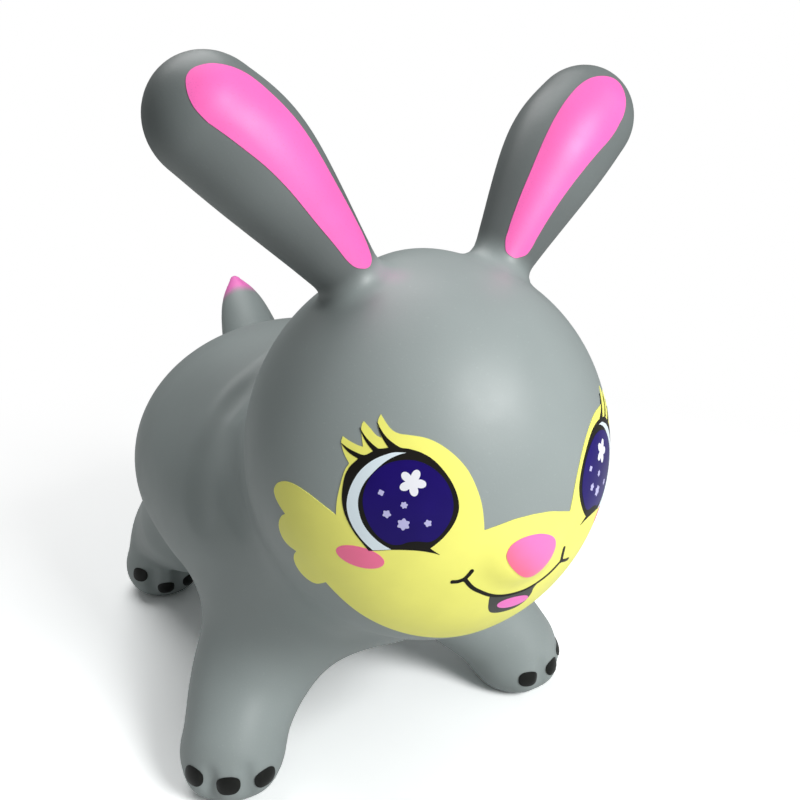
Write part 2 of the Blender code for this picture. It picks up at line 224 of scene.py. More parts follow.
EYE_RUNS = [
    [(-99, -20.2), (-103.5, -14.6), (-108, -9), (-112, -2), (-114.6, 5), (-115.6, 12), (-115, 20),
     (-113, 28), (-109.5, 34), (-104, 39)],
    [(-104, 39), (-109, 42), (-112.3, 45.2), (-114.6, 48.7)],
    [(-114.6, 48.7), (-110.5, 45.6), (-105.5, 43), (-100, 41.3), (-94.6, 43.6)],
    [(-94.6, 43.6), (-97.8, 48), (-100.3, 53), (-101.6, 57.8)],
    [(-101.6, 57.8), (-99, 53), (-96, 49.2), (-92.6, 46), (-90.6, 45), (-85.3, 45.4)],
    [(-85.3, 45.4), (-88, 50.5), (-89.8, 55.5), (-90.5, 60.8)],
    [(-90.5, 60.8), (-88.5, 55.8), (-85.6, 51.3), (-82, 47.9), (-78, 45.2), (-73, 44.2), (-66.5, 41.8),
     (-60, 37.4), (-54.3, 30.8), (-50, 23.6), (-47.4, 16.6), (-46.5, 10), (-47.6, 4), (-50.8, -2.5),
     (-55.4, -8.6), (-59.6, -12.8), (-62.6, -15.4)],
    [(-62.6, -15.4), (-60.2, -17.3), (-56.8, -19.8)],
    [(-56.8, -19.8), (-62, -18.2), (-69, -17.1), (-77, -16.9), (-85, -17.5), (-92, -18.8), (-99, -20.2)],
]
WHITE_RUNS = [
    [(-75, 42.2), (-82, 42.6), (-88, 41.2), (-94, 38.8), (-100, 34.8), (-105, 29.6), (-109, 23),
     (-111.6, 16), (-112.6, 9), (-111.6, 2), (-109, -4.6), (-105.2, -10.4), (-101, -15.2), (-96.5, -19.2)],
    [(-96.5, -19.2), (-91, -18.2), (-85.5, -17.2)],
    [(-85.5, -17.2), (-90, -14.8), (-94.5, -11.6), (-99, -7), (-102.6, -1.6), (-104.8, 5), (-105.4, 12),
     (-104, 18.4), (-101, 24.4), (-97, 29.2), (-92, 34), (-86, 38.4), (-80, 41), (-75, 42.2)],
]
IRIS_LOOP = [
    (-78, 38), (-70, 37.4), (-63, 34.4), (-57, 29.4), (-52.6, 23), (-50.2, 15.6), (-49.9, 8.4), (-51.6, 2),
    (-55, -4), (-59, -8.6), (-63.5, -11), (-70, -10.7), (-75.5, -11.4), (-80, -13.3), (-85, -13.7),
    (-90, -11.5), (-95, -7.2), (-99, -1.2), (-101.6, 6), (-102.4, 13), (-101.2, 20), (-98, 26.8),
    (-93, 32.4), (-86, 36.4),
]
BLOSSOM = (-72.8, 25.0, 5.4, 2.75, -10.0)
GLINTS = [
    (-91.2, 19.0, 1.9, 4, 20.0),
    (-78.0, 11.8, 2.1, 6, 8.0),
    (-88.2, 6.0, 2.5, 5, 60.0),
    (-78.5, 0.0, 3.7, 6, 25.0),
    (-64.4, 0.8, 2.2, 5, 35.0),
]
BLUSH = (-104.8, -26.4, 15.6, 8.0, -5.0)
NOSE_LOOP = [
    (-16.6, -22), (-14, -17), (-8, -14.2), (-1, -13.4), (6, -14.2), (13, -16.8), (18.4, -21),
    (20, -26.4), (18, -32), (14, -37), (9.5, -40.8), (4.6, -42.2), (-0.5, -40.8), (-6, -37.2),
    (-11.4, -32), (-15.2, -27),
]
SMILE = [
    (-39.5, -38.8, 2.7), (-33.5, -46.2, 2.7), (-26.5, -51.3, 2.6), (-19, -55.8, 2.6), (-10, -58.8, 2.2),
    (0, -60, 2.0), (10, -59.8, 2.0), (20, -57.2, 2.2), (28.5, -53.4, 2.4), (36.8, -47.2, 2.5),
]
SMILE_TICKS = [
    [(-47, -40.2, 2.6), (-43.5, -40.1, 2.5), (-39.2, -38.4, 2.6)],
    [(-36, -32.8, 2.6), (-37.8, -35.8, 2.5), (-40.2, -39.2, 2.6)],
    [(34.8, -35.4, 2.4), (35.6, -40.6, 2.4), (37.2, -47.8, 2.5)],
    [(46.8, -50.6, 2.4), (42.4, -49.4, 2.4), (36.4, -46.8, 2.5)],
]
MOUTH_RUNS = [
    [(-19.4, -56), (-18.4, -62), (-16.4, -69.6), (-13, -75.4), (-7.6, -78.6), (0, -80.4), (8, -80.8),
     (13.4, -79), (17, -74.6), (18, -68), (17.2, -62.6), (19.4, -57.6)],
    [(19.4, -57.6), (10, -59.8), (0, -60), (-10, -58.8), (-19.4, -56)],
]
TONGUE = (3.4, -70.4, 14.0, 5.6, -12.0)
FACE_TILT = math.radians(2.5)
MASK_MIDLINE = 1.5
EYE_MIDLINE = -3.0
GLINT_SHIFT = (146.0, -7.0)

# Insides of the ears: millimetres up the ear, and degrees from straight ahead towards the other ear
EAR_PANEL_LOOPS = {
    "right": [
        (5.2, 28), (7, 38), (11, 44), (17, 48.7), (25, 50.6), (40, 49.4), (60, 46.8), (80, 46.4),
        (100, 46.2), (115, 46.8), (127, 48.6), (133, 47.6), (139, 43), (145, 36.6), (150, 29),
        (153.4, 18), (154.4, 8), (153, -2), (148.5, -10), (142.5, -14.6), (136, -15.7), (125, -14.6),
        (107, -13), (90, -10), (72, -7.8), (50, -6.8), (30, -4.6), (19, -3.6), (12, 1), (7.5, 11),
        (5.6, 19),
    ],
    "left": [
        (3.5, 26), (5, 37), (11, 45.4), (17, 47.8), (25, 50), (40, 52), (60, 52.8), (80, 53.8),
        (100, 54.4), (118, 54.8), (128, 54.4), (134, 52), (139, 48), (144, 41), (148.5, 31),
        (150.2, 21), (149, 12), (144, 3.5), (138, -1.5), (131, -4.6), (124, -6.6), (116, -8.4),
        (107, -8.2), (95, -5.5), (80, -2.5), (60, 0.2), (40, 0.7), (25, -1), (17, -3), (11, -1.5),
        (6, 9), (4, 16),
    ],
}

# Nails, ovals on the toes: size, and rise from a foot's outer toe to its inner one, in millimetres
NAIL_WIDTH = 16.5
NAIL_HEIGHT = 14.5
FRONT_NAIL_RISES = (33.6, 31.0, 28.4)
HIND_NAIL_RISES = (36.0, 20.5, 22.0)
NAIL_POINTS = 28
NAIL_SQUARE = 2.5
NAIL_LIFT = 0.0007
NAIL_CROWN = 0.0006

# Sprayed mist on the crown beside the right ear, the reaches along an ear over which painted shade darkens
# its grey most at the root and eases to a lighter painted shade up the ear, and the two ends of the nose's
# change of colour
MIST_PLACE = (-0.0400, -0.1790, 0.4190)
MIST_RADIUS = 0.016
MIST_SHARE = 0.22
MIST_SPECKS = (0.35, 0.65)
MIST_THIN = 0.3
MIST_SHADE = 0.8
ROOT_PAINTED_SHADE_REACH = (0.348, 0.366)
EAR_PAINTED_SHADE_REACH = (0.385, 0.440)
NOSE_FADE = ((-0.014, -0.280, 0.244), (0.010, -0.280, 0.262))

# Finishes: scales of noise to the metre, depths of grain, and how far each carries
GRAIN_DETAIL = 3.0
GRAIN_STRENGTH = 0.35
BROAD_GRAIN = 0.045
BROAD_SHARE = 1.5
SMUDGE_SCALE = 26.0
SMUDGE_DETAIL = 4.0
SMUDGE_ROUGH = 0.62
CLOUD_DETAIL = 3.0
CLOUD_RANGE = (0.3, 0.7)
VINYL_CLOUD = 9.0
VINYL_SPREAD = 0.05
VINYL_GRAIN = 700.0
VINYL_DEPTH = 0.00012
VINYL_ROUGH = (0.40, 0.52)
DUST_SCALE = 620.0
DUST_RANGE = (0.66, 0.78)
DUST_SHARE = 0.22
DUST_SHADE = 1.35
SPRAY_SCALE = 1500.0
SPRAY_PATCH = 0.010
EDGE_SCALE = 60.0
EDGE_WANDER = 0.006
TAIL_FULL = 0.45
COAT_CLOUD = 34.0
COAT_GRAIN = 900.0
COAT_DEPTH = 0.00008
FLECK_SCALE = 1100.0
FLECK_RANGE = (0.58, 0.74)
FLECK_SHADE = 0.72
NOSE_EDGE_SCALE = 120.0
NOSE_EDGE_SHARE = 0.15
NOSE_DEPTH = 0.00006
NOSE_ROUGH = (0.34, 0.46)
INK_GLOSS = 0.12
NAIL_GLOSS = 0.24
PLAIN_GLOSS = 0.5

# Coats: least and greatest roughness, unevenness of colour, grain, share of thin flecks and gloss
Coat = namedtuple("Coat", "low high spread grain fleck gloss", defaults=(COAT_GRAIN, 0.0, PLAIN_GLOSS))
COATS = {
    "mask_yellow": Coat(0.40, 0.52, 0.03),
    "line_black": Coat(0.36, 0.50, 0.20, gloss=INK_GLOSS),
    "eye_white": Coat(0.34, 0.44, 0.04),
    "iris_violet": Coat(0.30, 0.40, 0.12, gloss=INK_GLOSS),
    "glint_white": Coat(0.30, 0.40, 0.02),
    "sparkle_lilac": Coat(0.30, 0.40, 0.06),
    "blush_pink": Coat(0.36, 0.48, 0.04),
    "mouth_grey": Coat(0.40, 0.50, 0.10),
    "tongue_pink": Coat(0.36, 0.46, 0.04),
    "ear_pink": Coat(0.42, 0.54, 0.03, grain=800.0, fleck=0.35),
    "nail_black": Coat(0.30, 0.44, 0.15, gloss=NAIL_GLOSS),
    "plug_white": Coat(0.30, 0.42, 0.03, grain=600.0),
}

# Lamps: the way from the middle of the object, distance and width; then the floor
KEY_WAY = (0.26, -1.0, 0.56)
KEY_DISTANCE = 1.7
KEY_SIZE = 0.6
FILL_WAY = (-0.10, 0.40, 1.0)
FILL_DISTANCE = 1.6
FILL_SIZE = 1.2
FLOOR_RADIUS = 6.0
FLOOR_SIDES = 96
FLOOR_FADE = (0.35, 1.1)
WHITE = (1.0, 1.0, 1.0, 1.0)

# Mesh sizes, counts and least values to divide by
SKIN_CELL = 0.0034
COARSE = 4
NEAR_SKIN = 0.010
REACH_MARGIN = 0.050
SLAB = 20000
SWEEP_STEPS = 16
EAR_EASE = 14
RUMP_STEPS = 24
FIT_ROUNDS = 3
RELAX_SHARE = 0.5
FIELD_STEP = 0.0002
FILM_CELL = 4.0
FINE_FILM_CELL = 2.0
RIM_SHARE = 0.6
OUTLINE_STEP = 0.8
FILM_DEPTH = 0.0006
PRINT_LIFT = 0.00025
SHARP_EDGE = math.radians(40.0)
OVAL_POINTS = 56
CAP_POINTS = 9
BLOSSOM_POINTS = 100
BLOSSOM_LOBES = 5
LOBE_SUNK = 0.55
LOBE_SWELL = 1.5
SPECK_POINTS = 12
SPECK_MEAN = 0.90
SPECK_WAVE = 0.14
RAY_SPAN = (0.5, 1.5)
RAY_HALVINGS = 26
FLATTEST = 0.05
NO_BEND = 1e-9
NO_LENGTH = 1e-6
NO_SLOPE = 1e-4
NO_STRETCH = 1e-3
WELD = 1e-6

# Camera of the photograph: where it stands, where it looks and its lens
IMAGE_SIZE = 800
CAMERA_PLACE = Vector((-0.2910, -0.6427, 0.5051))
CAMERA_TARGET = Vector((0.0, -0.1156, 0.3090))
CAMERA_FOCUS = 849.5
SENSOR_WIDTH = 36.0


class HopperSkin(bpy.types.PropertyGroup):
    """The inflated skin."""

    grey: FloatVectorProperty(
        name="Grey", description="Colour of the vinyl", default=(0.290, 0.332, 0.328),
        subtype="COLOR", min=0.0, max=1.0,
    )
    pink: FloatVectorProperty(
        name="Pink", description="Paint of the tail's tip and the tongue", default=(1.0, 0.205, 0.640),
        subtype="COLOR", min=0.0, max=1.0,
    )
    ear_pink: FloatVectorProperty(
        name="Ear pink", description="Paint inside the ears", default=(0.970, 0.150, 0.500),
        subtype="COLOR", min=0.0, max=1.0,
    )
    # Painted shade: how far the ears' grey is darkened below the head's, in place of the shade the ears lie
    # in
    ear_painted_shade: FloatProperty(
        name="Ear dusk", description="Brightness of the ears' grey beside the head's", default=0.53,
        subtype="FACTOR", min=0.0, max=1.0,
    )
    # Painted shade: the darker grey at an ear's root, in place of the shade in the crease there
    root_painted_shade: FloatProperty(
        name="Root dusk", description="Brightness of the grey at an ear's root", default=0.42,
        subtype="FACTOR", min=0.0, max=1.0,
    )
    black: FloatVectorProperty(
        name="Nail black", description="Paint of the nails", default=(0.008, 0.009, 0.008),
        subtype="COLOR", min=0.0, max=1.0,
    )
    ear_fillet: FloatProperty(
        name="Ear fillet", description="Softness of the crease round an ear",
        default=0.012, unit="LENGTH",
    )
    fold_fillet: FloatProperty(
        name="Fold fillet", description="Softness of the folds in the neck",
        default=0.012, unit="LENGTH",
    )
    neck_fillet: FloatProperty(
        name="Neck fillet", description="Softness of the crease behind the head",
        default=0.040, unit="LENGTH",
    )
    leg_fillet: FloatProperty(
        name="Leg fillet", description="Softness of the run from a leg to the body",
        default=0.035, unit="LENGTH",
    )
    tail_fillet: FloatProperty(
        name="Tail fillet", description="Softness of the crease round the tail",
        default=0.010, unit="LENGTH",
    )
    foot_fillet: FloatProperty(
        name="Foot fillet", description="Softness of the run from a leg to its foot",
        default=0.012, unit="LENGTH",
    )
    toe_fillet: FloatProperty(
        name="Toe fillet", description="Softness of the grooves between the toes",
        default=0.006, unit="LENGTH",
    )
    nose_fillet: FloatProperty(
        name="Nose fillet", description="Softness of the rim of the nose", default=0.014, unit="LENGTH"
    )
    crown_fillet: FloatProperty(
        name="Crown fillet", description="Softness of the low rise between the ears",
        default=0.014, unit="LENGTH",
    )
    tail_fade: FloatProperty(
        name="Tail fade", description="Length of the sprayed tip of the tail",
        default=0.030, unit="LENGTH",
    )


class HopperFace(bpy.types.PropertyGroup):
    """The print of the face."""

    yellow: FloatVectorProperty(
        name="Yellow", description="Spray of the face mask", default=(0.940, 0.920, 0.190),
        subtype="COLOR", min=0.0, max=1.0,
    )
    line: FloatVectorProperty(
        name="Line", description="Ink of the lids, lashes and mouth", default=(0.012, 0.011, 0.009),
        subtype="COLOR", min=0.0, max=1.0,
    )
    iris: FloatVectorProperty(
        name="Iris", description="Ink of the irises", default=(0.0130, 0.0050, 0.1350),
        subtype="COLOR", min=0.0, max=1.0,
    )
    white: FloatVectorProperty(
        name="Eye white", description="Ink of the eyes' crescents", default=(0.760, 0.870, 0.930),
        subtype="COLOR", min=0.0, max=1.0,
    )
    glint: FloatVectorProperty(
        name="Glint", description="Ink of the large glint", default=(0.860, 0.870, 0.920),
        subtype="COLOR", min=0.0, max=1.0,
    )
    sparkle: FloatVectorProperty(
        name="Sparkle", description="Ink of the small glints", default=(0.520, 0.500, 0.800),
        subtype="COLOR", min=0.0, max=1.0,
    )
    blush: FloatVectorProperty(
        name="Blush", description="Ink of the cheeks", default=(1.0, 0.180, 0.350),
        subtype="COLOR", min=0.0, max=1.0,
    )
    nose: FloatVectorProperty(
        name="Nose", description="Spray of the nose", default=(1.0, 0.160, 0.240),
        subtype="COLOR", min=0.0, max=1.0,
    )
    nose_pale: FloatVectorProperty(
        name="Nose, pale end", description="Spray of the nose's upper left", default=(1.0, 0.195, 0.540),
        subtype="COLOR", min=0.0, max=1.0,
    )
    mouth: FloatVectorProperty(
        name="Mouth", description="Ink of the open mouth", default=(0.040, 0.042, 0.040),
        subtype="COLOR", min=0.0, max=1.0,
    )
    film: FloatProperty(
        name="Film", description="Thickness of one coat of paint",
        default=0.00010, unit="LENGTH", precision=5,
    )


class HopperStage(bpy.types.PropertyGroup):
    """Floor and light."""

    floor: FloatVectorProperty(
        name="Floor", description="Colour of the floor and backdrop", default=(0.74, 0.75, 0.75),
        subtype="COLOR", min=0.0, max=1.0,
    )
    floor_lift: FloatProperty(
        name="Floor lift", description="How much brighter the camera sees the floor", default=2.0, min=1.0
    )
    key_power: FloatProperty(
        name="Key light", description="Power of the large soft lamp", default=24.5, unit="POWER"
    )
    fill_power: FloatProperty(
        name="Fill light", description="Power of the lamp overhead", default=15.0, unit="POWER"
    )
    sky: FloatProperty(
        name="Sky", description="Strength of the even light all round", default=0.17, min=0.0
    )


Leg = namedtuple("Leg", "label hip knee tuck foot radius turns rises")


def unit(vector):
    return np.asarray(vector, float) / np.linalg.norm(vector)


def smooth_rows(rows, steps, lead_in=None):
    """Rows of numbers on a smooth curve through the given ones, which sets out as if from lead_in."""
    rows = np.asarray(rows, float)
    first = 2.0 * rows[0] - rows[1] if lead_in is None else np.asarray(lead_in, float)
    padded = np.vstack([first, rows, 2.0 * rows[-1] - rows[-2]])
    t = np.arange(steps)[:, None] / steps
    pieces = []
    for before, start, end, after in zip(padded, padded[1:], padded[2:], padded[3:]):
        slope = end - before
        bow = 2.0 * before - 5.0 * start + 4.0 * end - after
        twist = 3.0 * start - before - 3.0 * end + after
        pieces.append(0.5 * (2.0 * start + slope * t + bow * t**2 + twist * t**3))
    return np.vstack([*pieces, rows[-1:]])


def eased(rows, rounds):
    """The same run of balls, evenly spaced and with its changes of thickness eased."""
    run = np.concatenate([[0.0], np.cumsum(np.linalg.norm(np.diff(rows[:, :3], axis=0), axis=1))])
    even = np.linspace(0.0, run[-1], len(rows))
    rows = np.stack([np.interp(even, run, rows[:, k]) for k in range(4)], axis=1)
    for _ in range(rounds):
        rows[1:-1] = 0.5 * rows[1:-1] + 0.25 * (rows[:-2] + rows[2:])
    return rows


def sweep_field(rows, points, widen=1.0):
    """About how far the points lie outside a run of balls, which is drawn out along X by widen."""
    stretch = np.array((widen, 1.0, 1.0))
    place = points / stretch
    middles, radii = rows[:, :3], rows[:, 3]
    square = (place**2).sum(axis=1)[:, None] - 2.0 * place @ middles.T + (middles**2).sum(axis=1)
    away = np.sqrt(np.maximum(square, 0.0)) - radii
    each = np.arange(len(points))
    nearest = away.argmin(axis=1)
    inner = np.clip(nearest, 1, len(rows) - 2)
    before, here, after = (away[each, inner + k] for k in (-1, 0, 1))
    bend = np.maximum(after - 2.0 * here + before, NO_BEND)
    shift = np.clip(0.5 * (before - after) / bend, -1.0, 1.0)
    between = here + 0.5 * (after - before) * shift + 0.5 * bend * shift**2
    value = np.minimum(between, away[each, nearest])
    slope = place - middles[nearest]
    slope /= np.maximum(np.linalg.norm(slope, axis=1), NO_LENGTH)[:, None]
    return value / np.maximum(np.linalg.norm(slope / stretch, axis=1), NO_STRETCH)


def pebble_field(foot, radius, points):
    """How far the points lie outside a round-edged pebble that lies flat on the floor."""
    out = np.hypot(points[:, 0] - foot[0], points[:, 1] - foot[1])
    return np.hypot(np.maximum(out - radius + SOLE_ROUND, 0.0), points[:, 2] - SOLE_ROUND) - SOLE_ROUND


def ball_field(middle, half, points):
    """About how far the points lie outside an ellipsoid."""
    place = (points - middle) / half
    slope = 2.0 * place / half
    return ((place**2).sum(axis=1) - 1.0) / np.maximum(np.linalg.norm(slope, axis=1), NO_SLOPE)


def merged(one, other, fillet):
    """Two fields as one, with a fillet where their surfaces meet."""
    near = np.maximum(fillet - np.abs(one - other), 0.0) / fillet
    return np.minimum(one, other) - 0.25 * fillet * near**2


def bounded(part, middle, reach):
    """The same field, worked out only near a ball and about the way to that ball elsewhere."""

    def field(points):
        value = np.linalg.norm(points - middle, axis=1) - reach
        near = value < REACH_MARGIN
        value[near] = part(points[near])
        return value

    return field


def body_rows():
    """Balls from the back of the rump through the waist to the chest."""
    high = 0.5 * BODY_HEIGHT
    spread = RUMP_LENGTH**2 - high**2
    back = np.linspace(spread / RUMP_LENGTH, 0.0, RUMP_STEPS)
    rump = np.tile((*BODY_MIDDLE, high), (RUMP_STEPS, 1))
    rump[:, 1] += back
    rump[:, 3] *= np.sqrt(1.0 - back**2 / spread)
    behind = (0.0, 2.0 * BODY_MIDDLE[1] - WAIST[1], BODY_MIDDLE[2], WAIST_RADIUS)
    barrel = [(*BODY_MIDDLE, high), (*WAIST, WAIST_RADIUS), (*CHEST, CHEST_RADIUS)]
    return np.vstack([rump[:-1], smooth_rows(barrel, SWEEP_STEPS, behind)])


def ear_axis(side):
    return unit((side * math.sin(EAR_LEAN), math.tan(EAR_SWEEP_BACK), math.cos(EAR_LEAN)))


def ear_rows(side):
    """Balls from the sunk root of an ear to its tip."""
    root = EAR_ROOT * (side, 1.0, 1.0)
    axis = ear_axis(side)
    bow = np.array((-side * math.cos(EAR_LEAN), 0.0, math.sin(EAR_LEAN))) * EAR_BEND
    tip = root + axis * (EAR_LENGTH - EAR_TIP_RADIUS)
    middle = root + (tip - root) * EAR_MID_SHARE + bow
    rows = [
        (*(root - axis * EAR_SUNK - bow), EAR_ROOT_RADIUS),
        (*root, EAR_ROOT_RADIUS),
        (*middle, EAR_MID_RADIUS),
        (*tip, EAR_TIP_RADIUS),
    ]
    return eased(smooth_rows(rows, SWEEP_STEPS), EAR_EASE)


def leg_rows(leg):
    """Balls from the hip, by a knee set back, to the ankle."""
    ankle = leg.foot + (0.0, 0.0, leg.radius)
    knee = leg.hip + (ankle - leg.hip) * KNEE_SHARE
    knee[1] += leg.tuck
    return smooth_rows([(*leg.hip, HIP_RADIUS), (*knee, leg.knee), (*ankle, leg.radius)], SWEEP_STEPS)


def tail_axis():
    return np.array((0.0, math.cos(TAIL_RISE), math.sin(TAIL_RISE)))


def tail_rows():
    """Balls from the sunk root of the tail to its tip."""
    axis = tail_axis()
    tip = TAIL_ROOT + axis * (TAIL_LENGTH - TAIL_TIP_RADIUS)
    rows = [
        (*(TAIL_ROOT - axis * TAIL_SUNK), TAIL_ROOT_RADIUS),
        (*(0.5 * (TAIL_ROOT + tip)), TAIL_MID_RADIUS),
        (*tip, TAIL_TIP_RADIUS),
    ]
    return smooth_rows(rows, SWEEP_STEPS)


def legs():
    """The four legs, each with the turns of its toes from straight ahead, positive to the rabbit's left."""
    ends = [
        Leg("front", FRONT_HIP, FRONT_KNEE_RADIUS, FRONT_KNEE_TUCK, FRONT_FOOT, FRONT_FOOT_RADIUS,
            FRONT_TOE_TURN, FRONT_NAIL_RISES),
        Leg("hind", HIND_HIP, HIND_KNEE_RADIUS, HIND_KNEE_TUCK, HIND_FOOT, HIND_FOOT_RADIUS,
            HIND_TOE_TURN, HIND_NAIL_RISES),
    ]
    spread = (np.arange(TOE_COUNT) - 0.5 * (TOE_COUNT - 1)) * TOE_SPACING
    found = []
    for (label, side), leg in product(SIDES.items(), ends):
        flip = (side, 1.0, 1.0)
        found.append(leg._replace(
            label=f"{leg.label}_{label}",
            hip=leg.hip * flip,
            foot=leg.foot * flip,
            turns=side * leg.turns + spread,
            rises=leg.rises[:: -int(side)],
        ))
    return found


def round_foot(leg, turns, reach, rise):
    """Places round a foot at the given turns, reach and rise."""
    return [leg.foot + (reach * math.sin(turn), -reach * math.cos(turn), rise) for turn in turns]


def leg_field(leg):
    """Field of one leg with its foot and toes."""
    skin = bpy.context.scene.hopper_skin
    rows = leg_rows(leg)
    toes = round_foot(leg, leg.turns, leg.radius + TOE_STANDOUT - TOE_RADIUS, TOE_RISE)
    toe_half = np.full(3, TOE_RADIUS)
    between = 0.5 * (leg.turns[1:] + leg.turns[:-1])
    out = leg.radius + GROOVE_STANDOFF
    lows, highs = (round_foot(leg, between, out, rise) for rise in (GROOVE_FOOT, GROOVE_RISE))
    grooves = []
    for low, high in zip(lows, highs):
        grooves.append(smooth_rows([(*low, GROOVE_RADIUS), (*high, GROOVE_RADIUS)], SWEEP_STEPS))

    def field(points):
        foot = pebble_field(leg.foot, leg.radius, points)
        shape = merged(sweep_field(rows, points), foot, skin.foot_fillet)
        for toe in toes:
            shape = merged(shape, ball_field(toe, toe_half, points), skin.toe_fillet)
        for groove in grooves:
            shape = -merged(-shape, sweep_field(groove, points), skin.toe_fillet)
        return shape

    reach = 0.5 * np.linalg.norm(leg.hip - leg.foot) + HIP_RADIUS
    return bounded(field, 0.5 * (leg.hip + leg.foot), reach)


def skin_field():
    """The field of the whole inflated skin, zero on its surface and positive outside."""
    skin = bpy.context.scene.hopper_skin
    body = body_rows()
    widen = BODY_WIDTH / BODY_HEIGHT
    limbs = [leg_field(leg) for leg in legs()]
    ears = []
    for side in SIDES.values():
        middle = EAR_ROOT * (side, 1.0, 1.0) + 0.5 * EAR_LENGTH * ear_axis(side)
        ears.append(bounded(partial(sweep_field, ear_rows(side)), middle, 0.5 * EAR_LENGTH + EAR_SUNK))
    tail = bounded(partial(sweep_field, tail_rows()), TAIL_ROOT, TAIL_LENGTH)
    folds = []
    for (radius, run), side in product(NECK_FOLDS, SIDES.values()):
        rows = smooth_rows([(side * x, y, z, radius) for x, y, z in run], FOLD_STEPS)
        ends = rows[0, :3], rows[-1, :3]
        reach = 0.5 * np.linalg.norm(ends[1] - ends[0])
        folds.append(bounded(partial(sweep_field, rows), 0.5 * (ends[0] + ends[1]), reach))

    def slab_field(points):
        torso = merged(sweep_field(body, points, widen), tail(points), skin.tail_fillet)
        for limb in limbs:
            torso = merged(torso, limb(points), skin.leg_fillet)
        head = ball_field(HEAD_MIDDLE, HEAD_HALF, points)
        head = merged(head, ball_field(NOSE_MIDDLE, NOSE_HALF, points), skin.nose_fillet)
        head = merged(head, ball_field(CROWN_BUMP, CROWN_HALF, points), skin.crown_fillet)
        for ear in ears:
            head = merged(head, ear(points), skin.ear_fillet)
        whole = merged(torso, head, skin.neck_fillet)
        for fold in folds:
            whole = -merged(-whole, fold(points), skin.fold_fillet)
        return np.maximum(whole, -points[:, 2])

    def field(points):
        return np.concatenate([slab_field(points[k : k + SLAB]) for k in range(0, len(points), SLAB)])

    return field


def slope_of(field, points):
    """Slope of a field at the points."""
    columns = []
    for k in range(3):
        step = np.zeros(3)
        step[k] = FIELD_STEP
        columns.append((field(points + step) - field(points - step)) / (2.0 * FIELD_STEP))
    return np.stack(columns, axis=1)


def normals_of(field, points):
    slope = slope_of(field, points)
    return slope / np.maximum(np.linalg.norm(slope, axis=1), NO_LENGTH)[:, None]


def on_skin(field, starts, ways):
    """Where rays from inside the skin come out of it. The ways reach about as far as the skin."""
    low, high = (np.full(len(starts), share) for share in RAY_SPAN)
    for _ in range(RAY_HALVINGS):
        share = 0.5 * (low + high)
        inside = field(starts + ways * share[:, None]) < 0.0
        low = np.where(inside, share, low)
        high = np.where(inside, high, share)
    return starts + ways * (0.5 * (low + high))[:, None]


def grid_values(field):
    """The field on a fine grid round the frame, exact near the skin, and the grid's first corner."""
    block = COARSE * SKIN_CELL
    low = np.array(CAD_BOX[0]) - block
    high = np.array(CAD_BOX[1]) + block
    low[0] = -high[0]
    blocks = np.ceil((high - low) / block).astype(int)
    places = np.stack(np.meshgrid(*[np.arange(n) for n in blocks], indexing="ij"), axis=-1).reshape(-1, 3)
    coarse = field(low + (places + 0.5) * block)
    values = coarse.reshape(blocks)
    for axis in range(3):
        values = np.repeat(values, COARSE, axis=axis)
    close = np.abs(coarse) < block + NEAR_SKIN
    within = np.stack(np.meshgrid(*[np.arange(COARSE)] * 3, indexing="ij"), axis=-1).reshape(-1, 3)
    fine = (places[close][:, None] * COARSE + within).reshape(-1, 3)
    values[tuple(fine.T)] = field(low + fine * SKIN_CELL)
    return values, low


def surface_net(values, low):
    """Corners and four-sided faces of the grid's zero surface, one corner in each cell that it crosses."""
    inside = values < 0.0
    shape = np.array(values.shape) - 1
    total = np.zeros((*shape, 3))
    count = np.zeros(shape)
    offsets = [np.array(corner) for corner in np.ndindex(2, 2, 2)]

    def corner_of(array, offset):
        return array[tuple(slice(o, o + n) for o, n in zip(offset, shape))]

    for start in offsets:
        for axis in range(3):
            if start[axis]:
                continue
            end = start + np.eye(3, dtype=int)[axis]
            crossed = corner_of(inside, start) != corner_of(inside, end)
            first, last = corner_of(values, start)[crossed], corner_of(values, end)[crossed]
            place = np.tile(start.astype(float), (len(first), 1))
            place[:, axis] += first / (first - last)
            total[crossed] += place
            count[crossed] += 1
    used = count > 0
    cells = np.argwhere(used)
    points = low + (cells + total[used] / count[used][:, None]) * SKIN_CELL
    number = np.full(shape, -1)
    number[used] = np.arange(len(cells))
    faces = []
    for axis in range(3):
        one, two = (axis + 1) % 3, (axis + 2) % 3
        step = np.eye(3, dtype=int)
        first = inside[tuple(slice(0, -1) if k == axis else slice(None) for k in range(3))]
        last = inside[tuple(slice(1, None) if k == axis else slice(None) for k in range(3))]
        for opens in (True, False):
            edge = np.argwhere((first == opens) & (last != opens))
            ring = [edge - step[one] - step[two], edge - step[two], edge, edge - step[one]]
            quad = np.stack([number[tuple(cell.T)] for cell in ring], axis=1)
            faces.append(quad if opens else quad[:, ::-1])
    return points, np.vstack(faces)


def skin_mesh(name, field):
    """An even closed mesh of the skin."""
    points, faces = surface_net(*grid_values(field))
    count = len(points)
    start, end = np.vstack([faces[:, [k, (k + 1) % 4]] for k in range(4)]).T
    degree = np.bincount(start, minlength=count)[:, None]
    for _ in range(FIT_ROUNDS):
        around = np.stack([np.bincount(start, points[end, k], count) for k in range(3)], axis=1)
        points += RELAX_SHARE * (around / degree - points)
        slope = slope_of(field, points)
        steep = np.maximum((slope**2).sum(axis=1), FLATTEST)
        step = slope * (field(points) / steep)[:, None]
        length = np.maximum(np.linalg.norm(step, axis=1), NO_LENGTH)[:, None]
        points -= step * np.minimum(1.0, 0.5 * SKIN_CELL / length)
    mesh = bpy.data.meshes.new(name)
    mesh.from_pydata(points.tolist(), [], faces.tolist())
    mesh.shade_smooth()
    return mesh


def piece(name, mesh, material, body):
    """A piece of the object that rides on a body of the frame."""
    mesh.materials.append(material)
    item = bpy.data.objects.new(name, mesh)
    bpy.context.scene.collection.objects.link(item)
    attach(item, body)
    return item


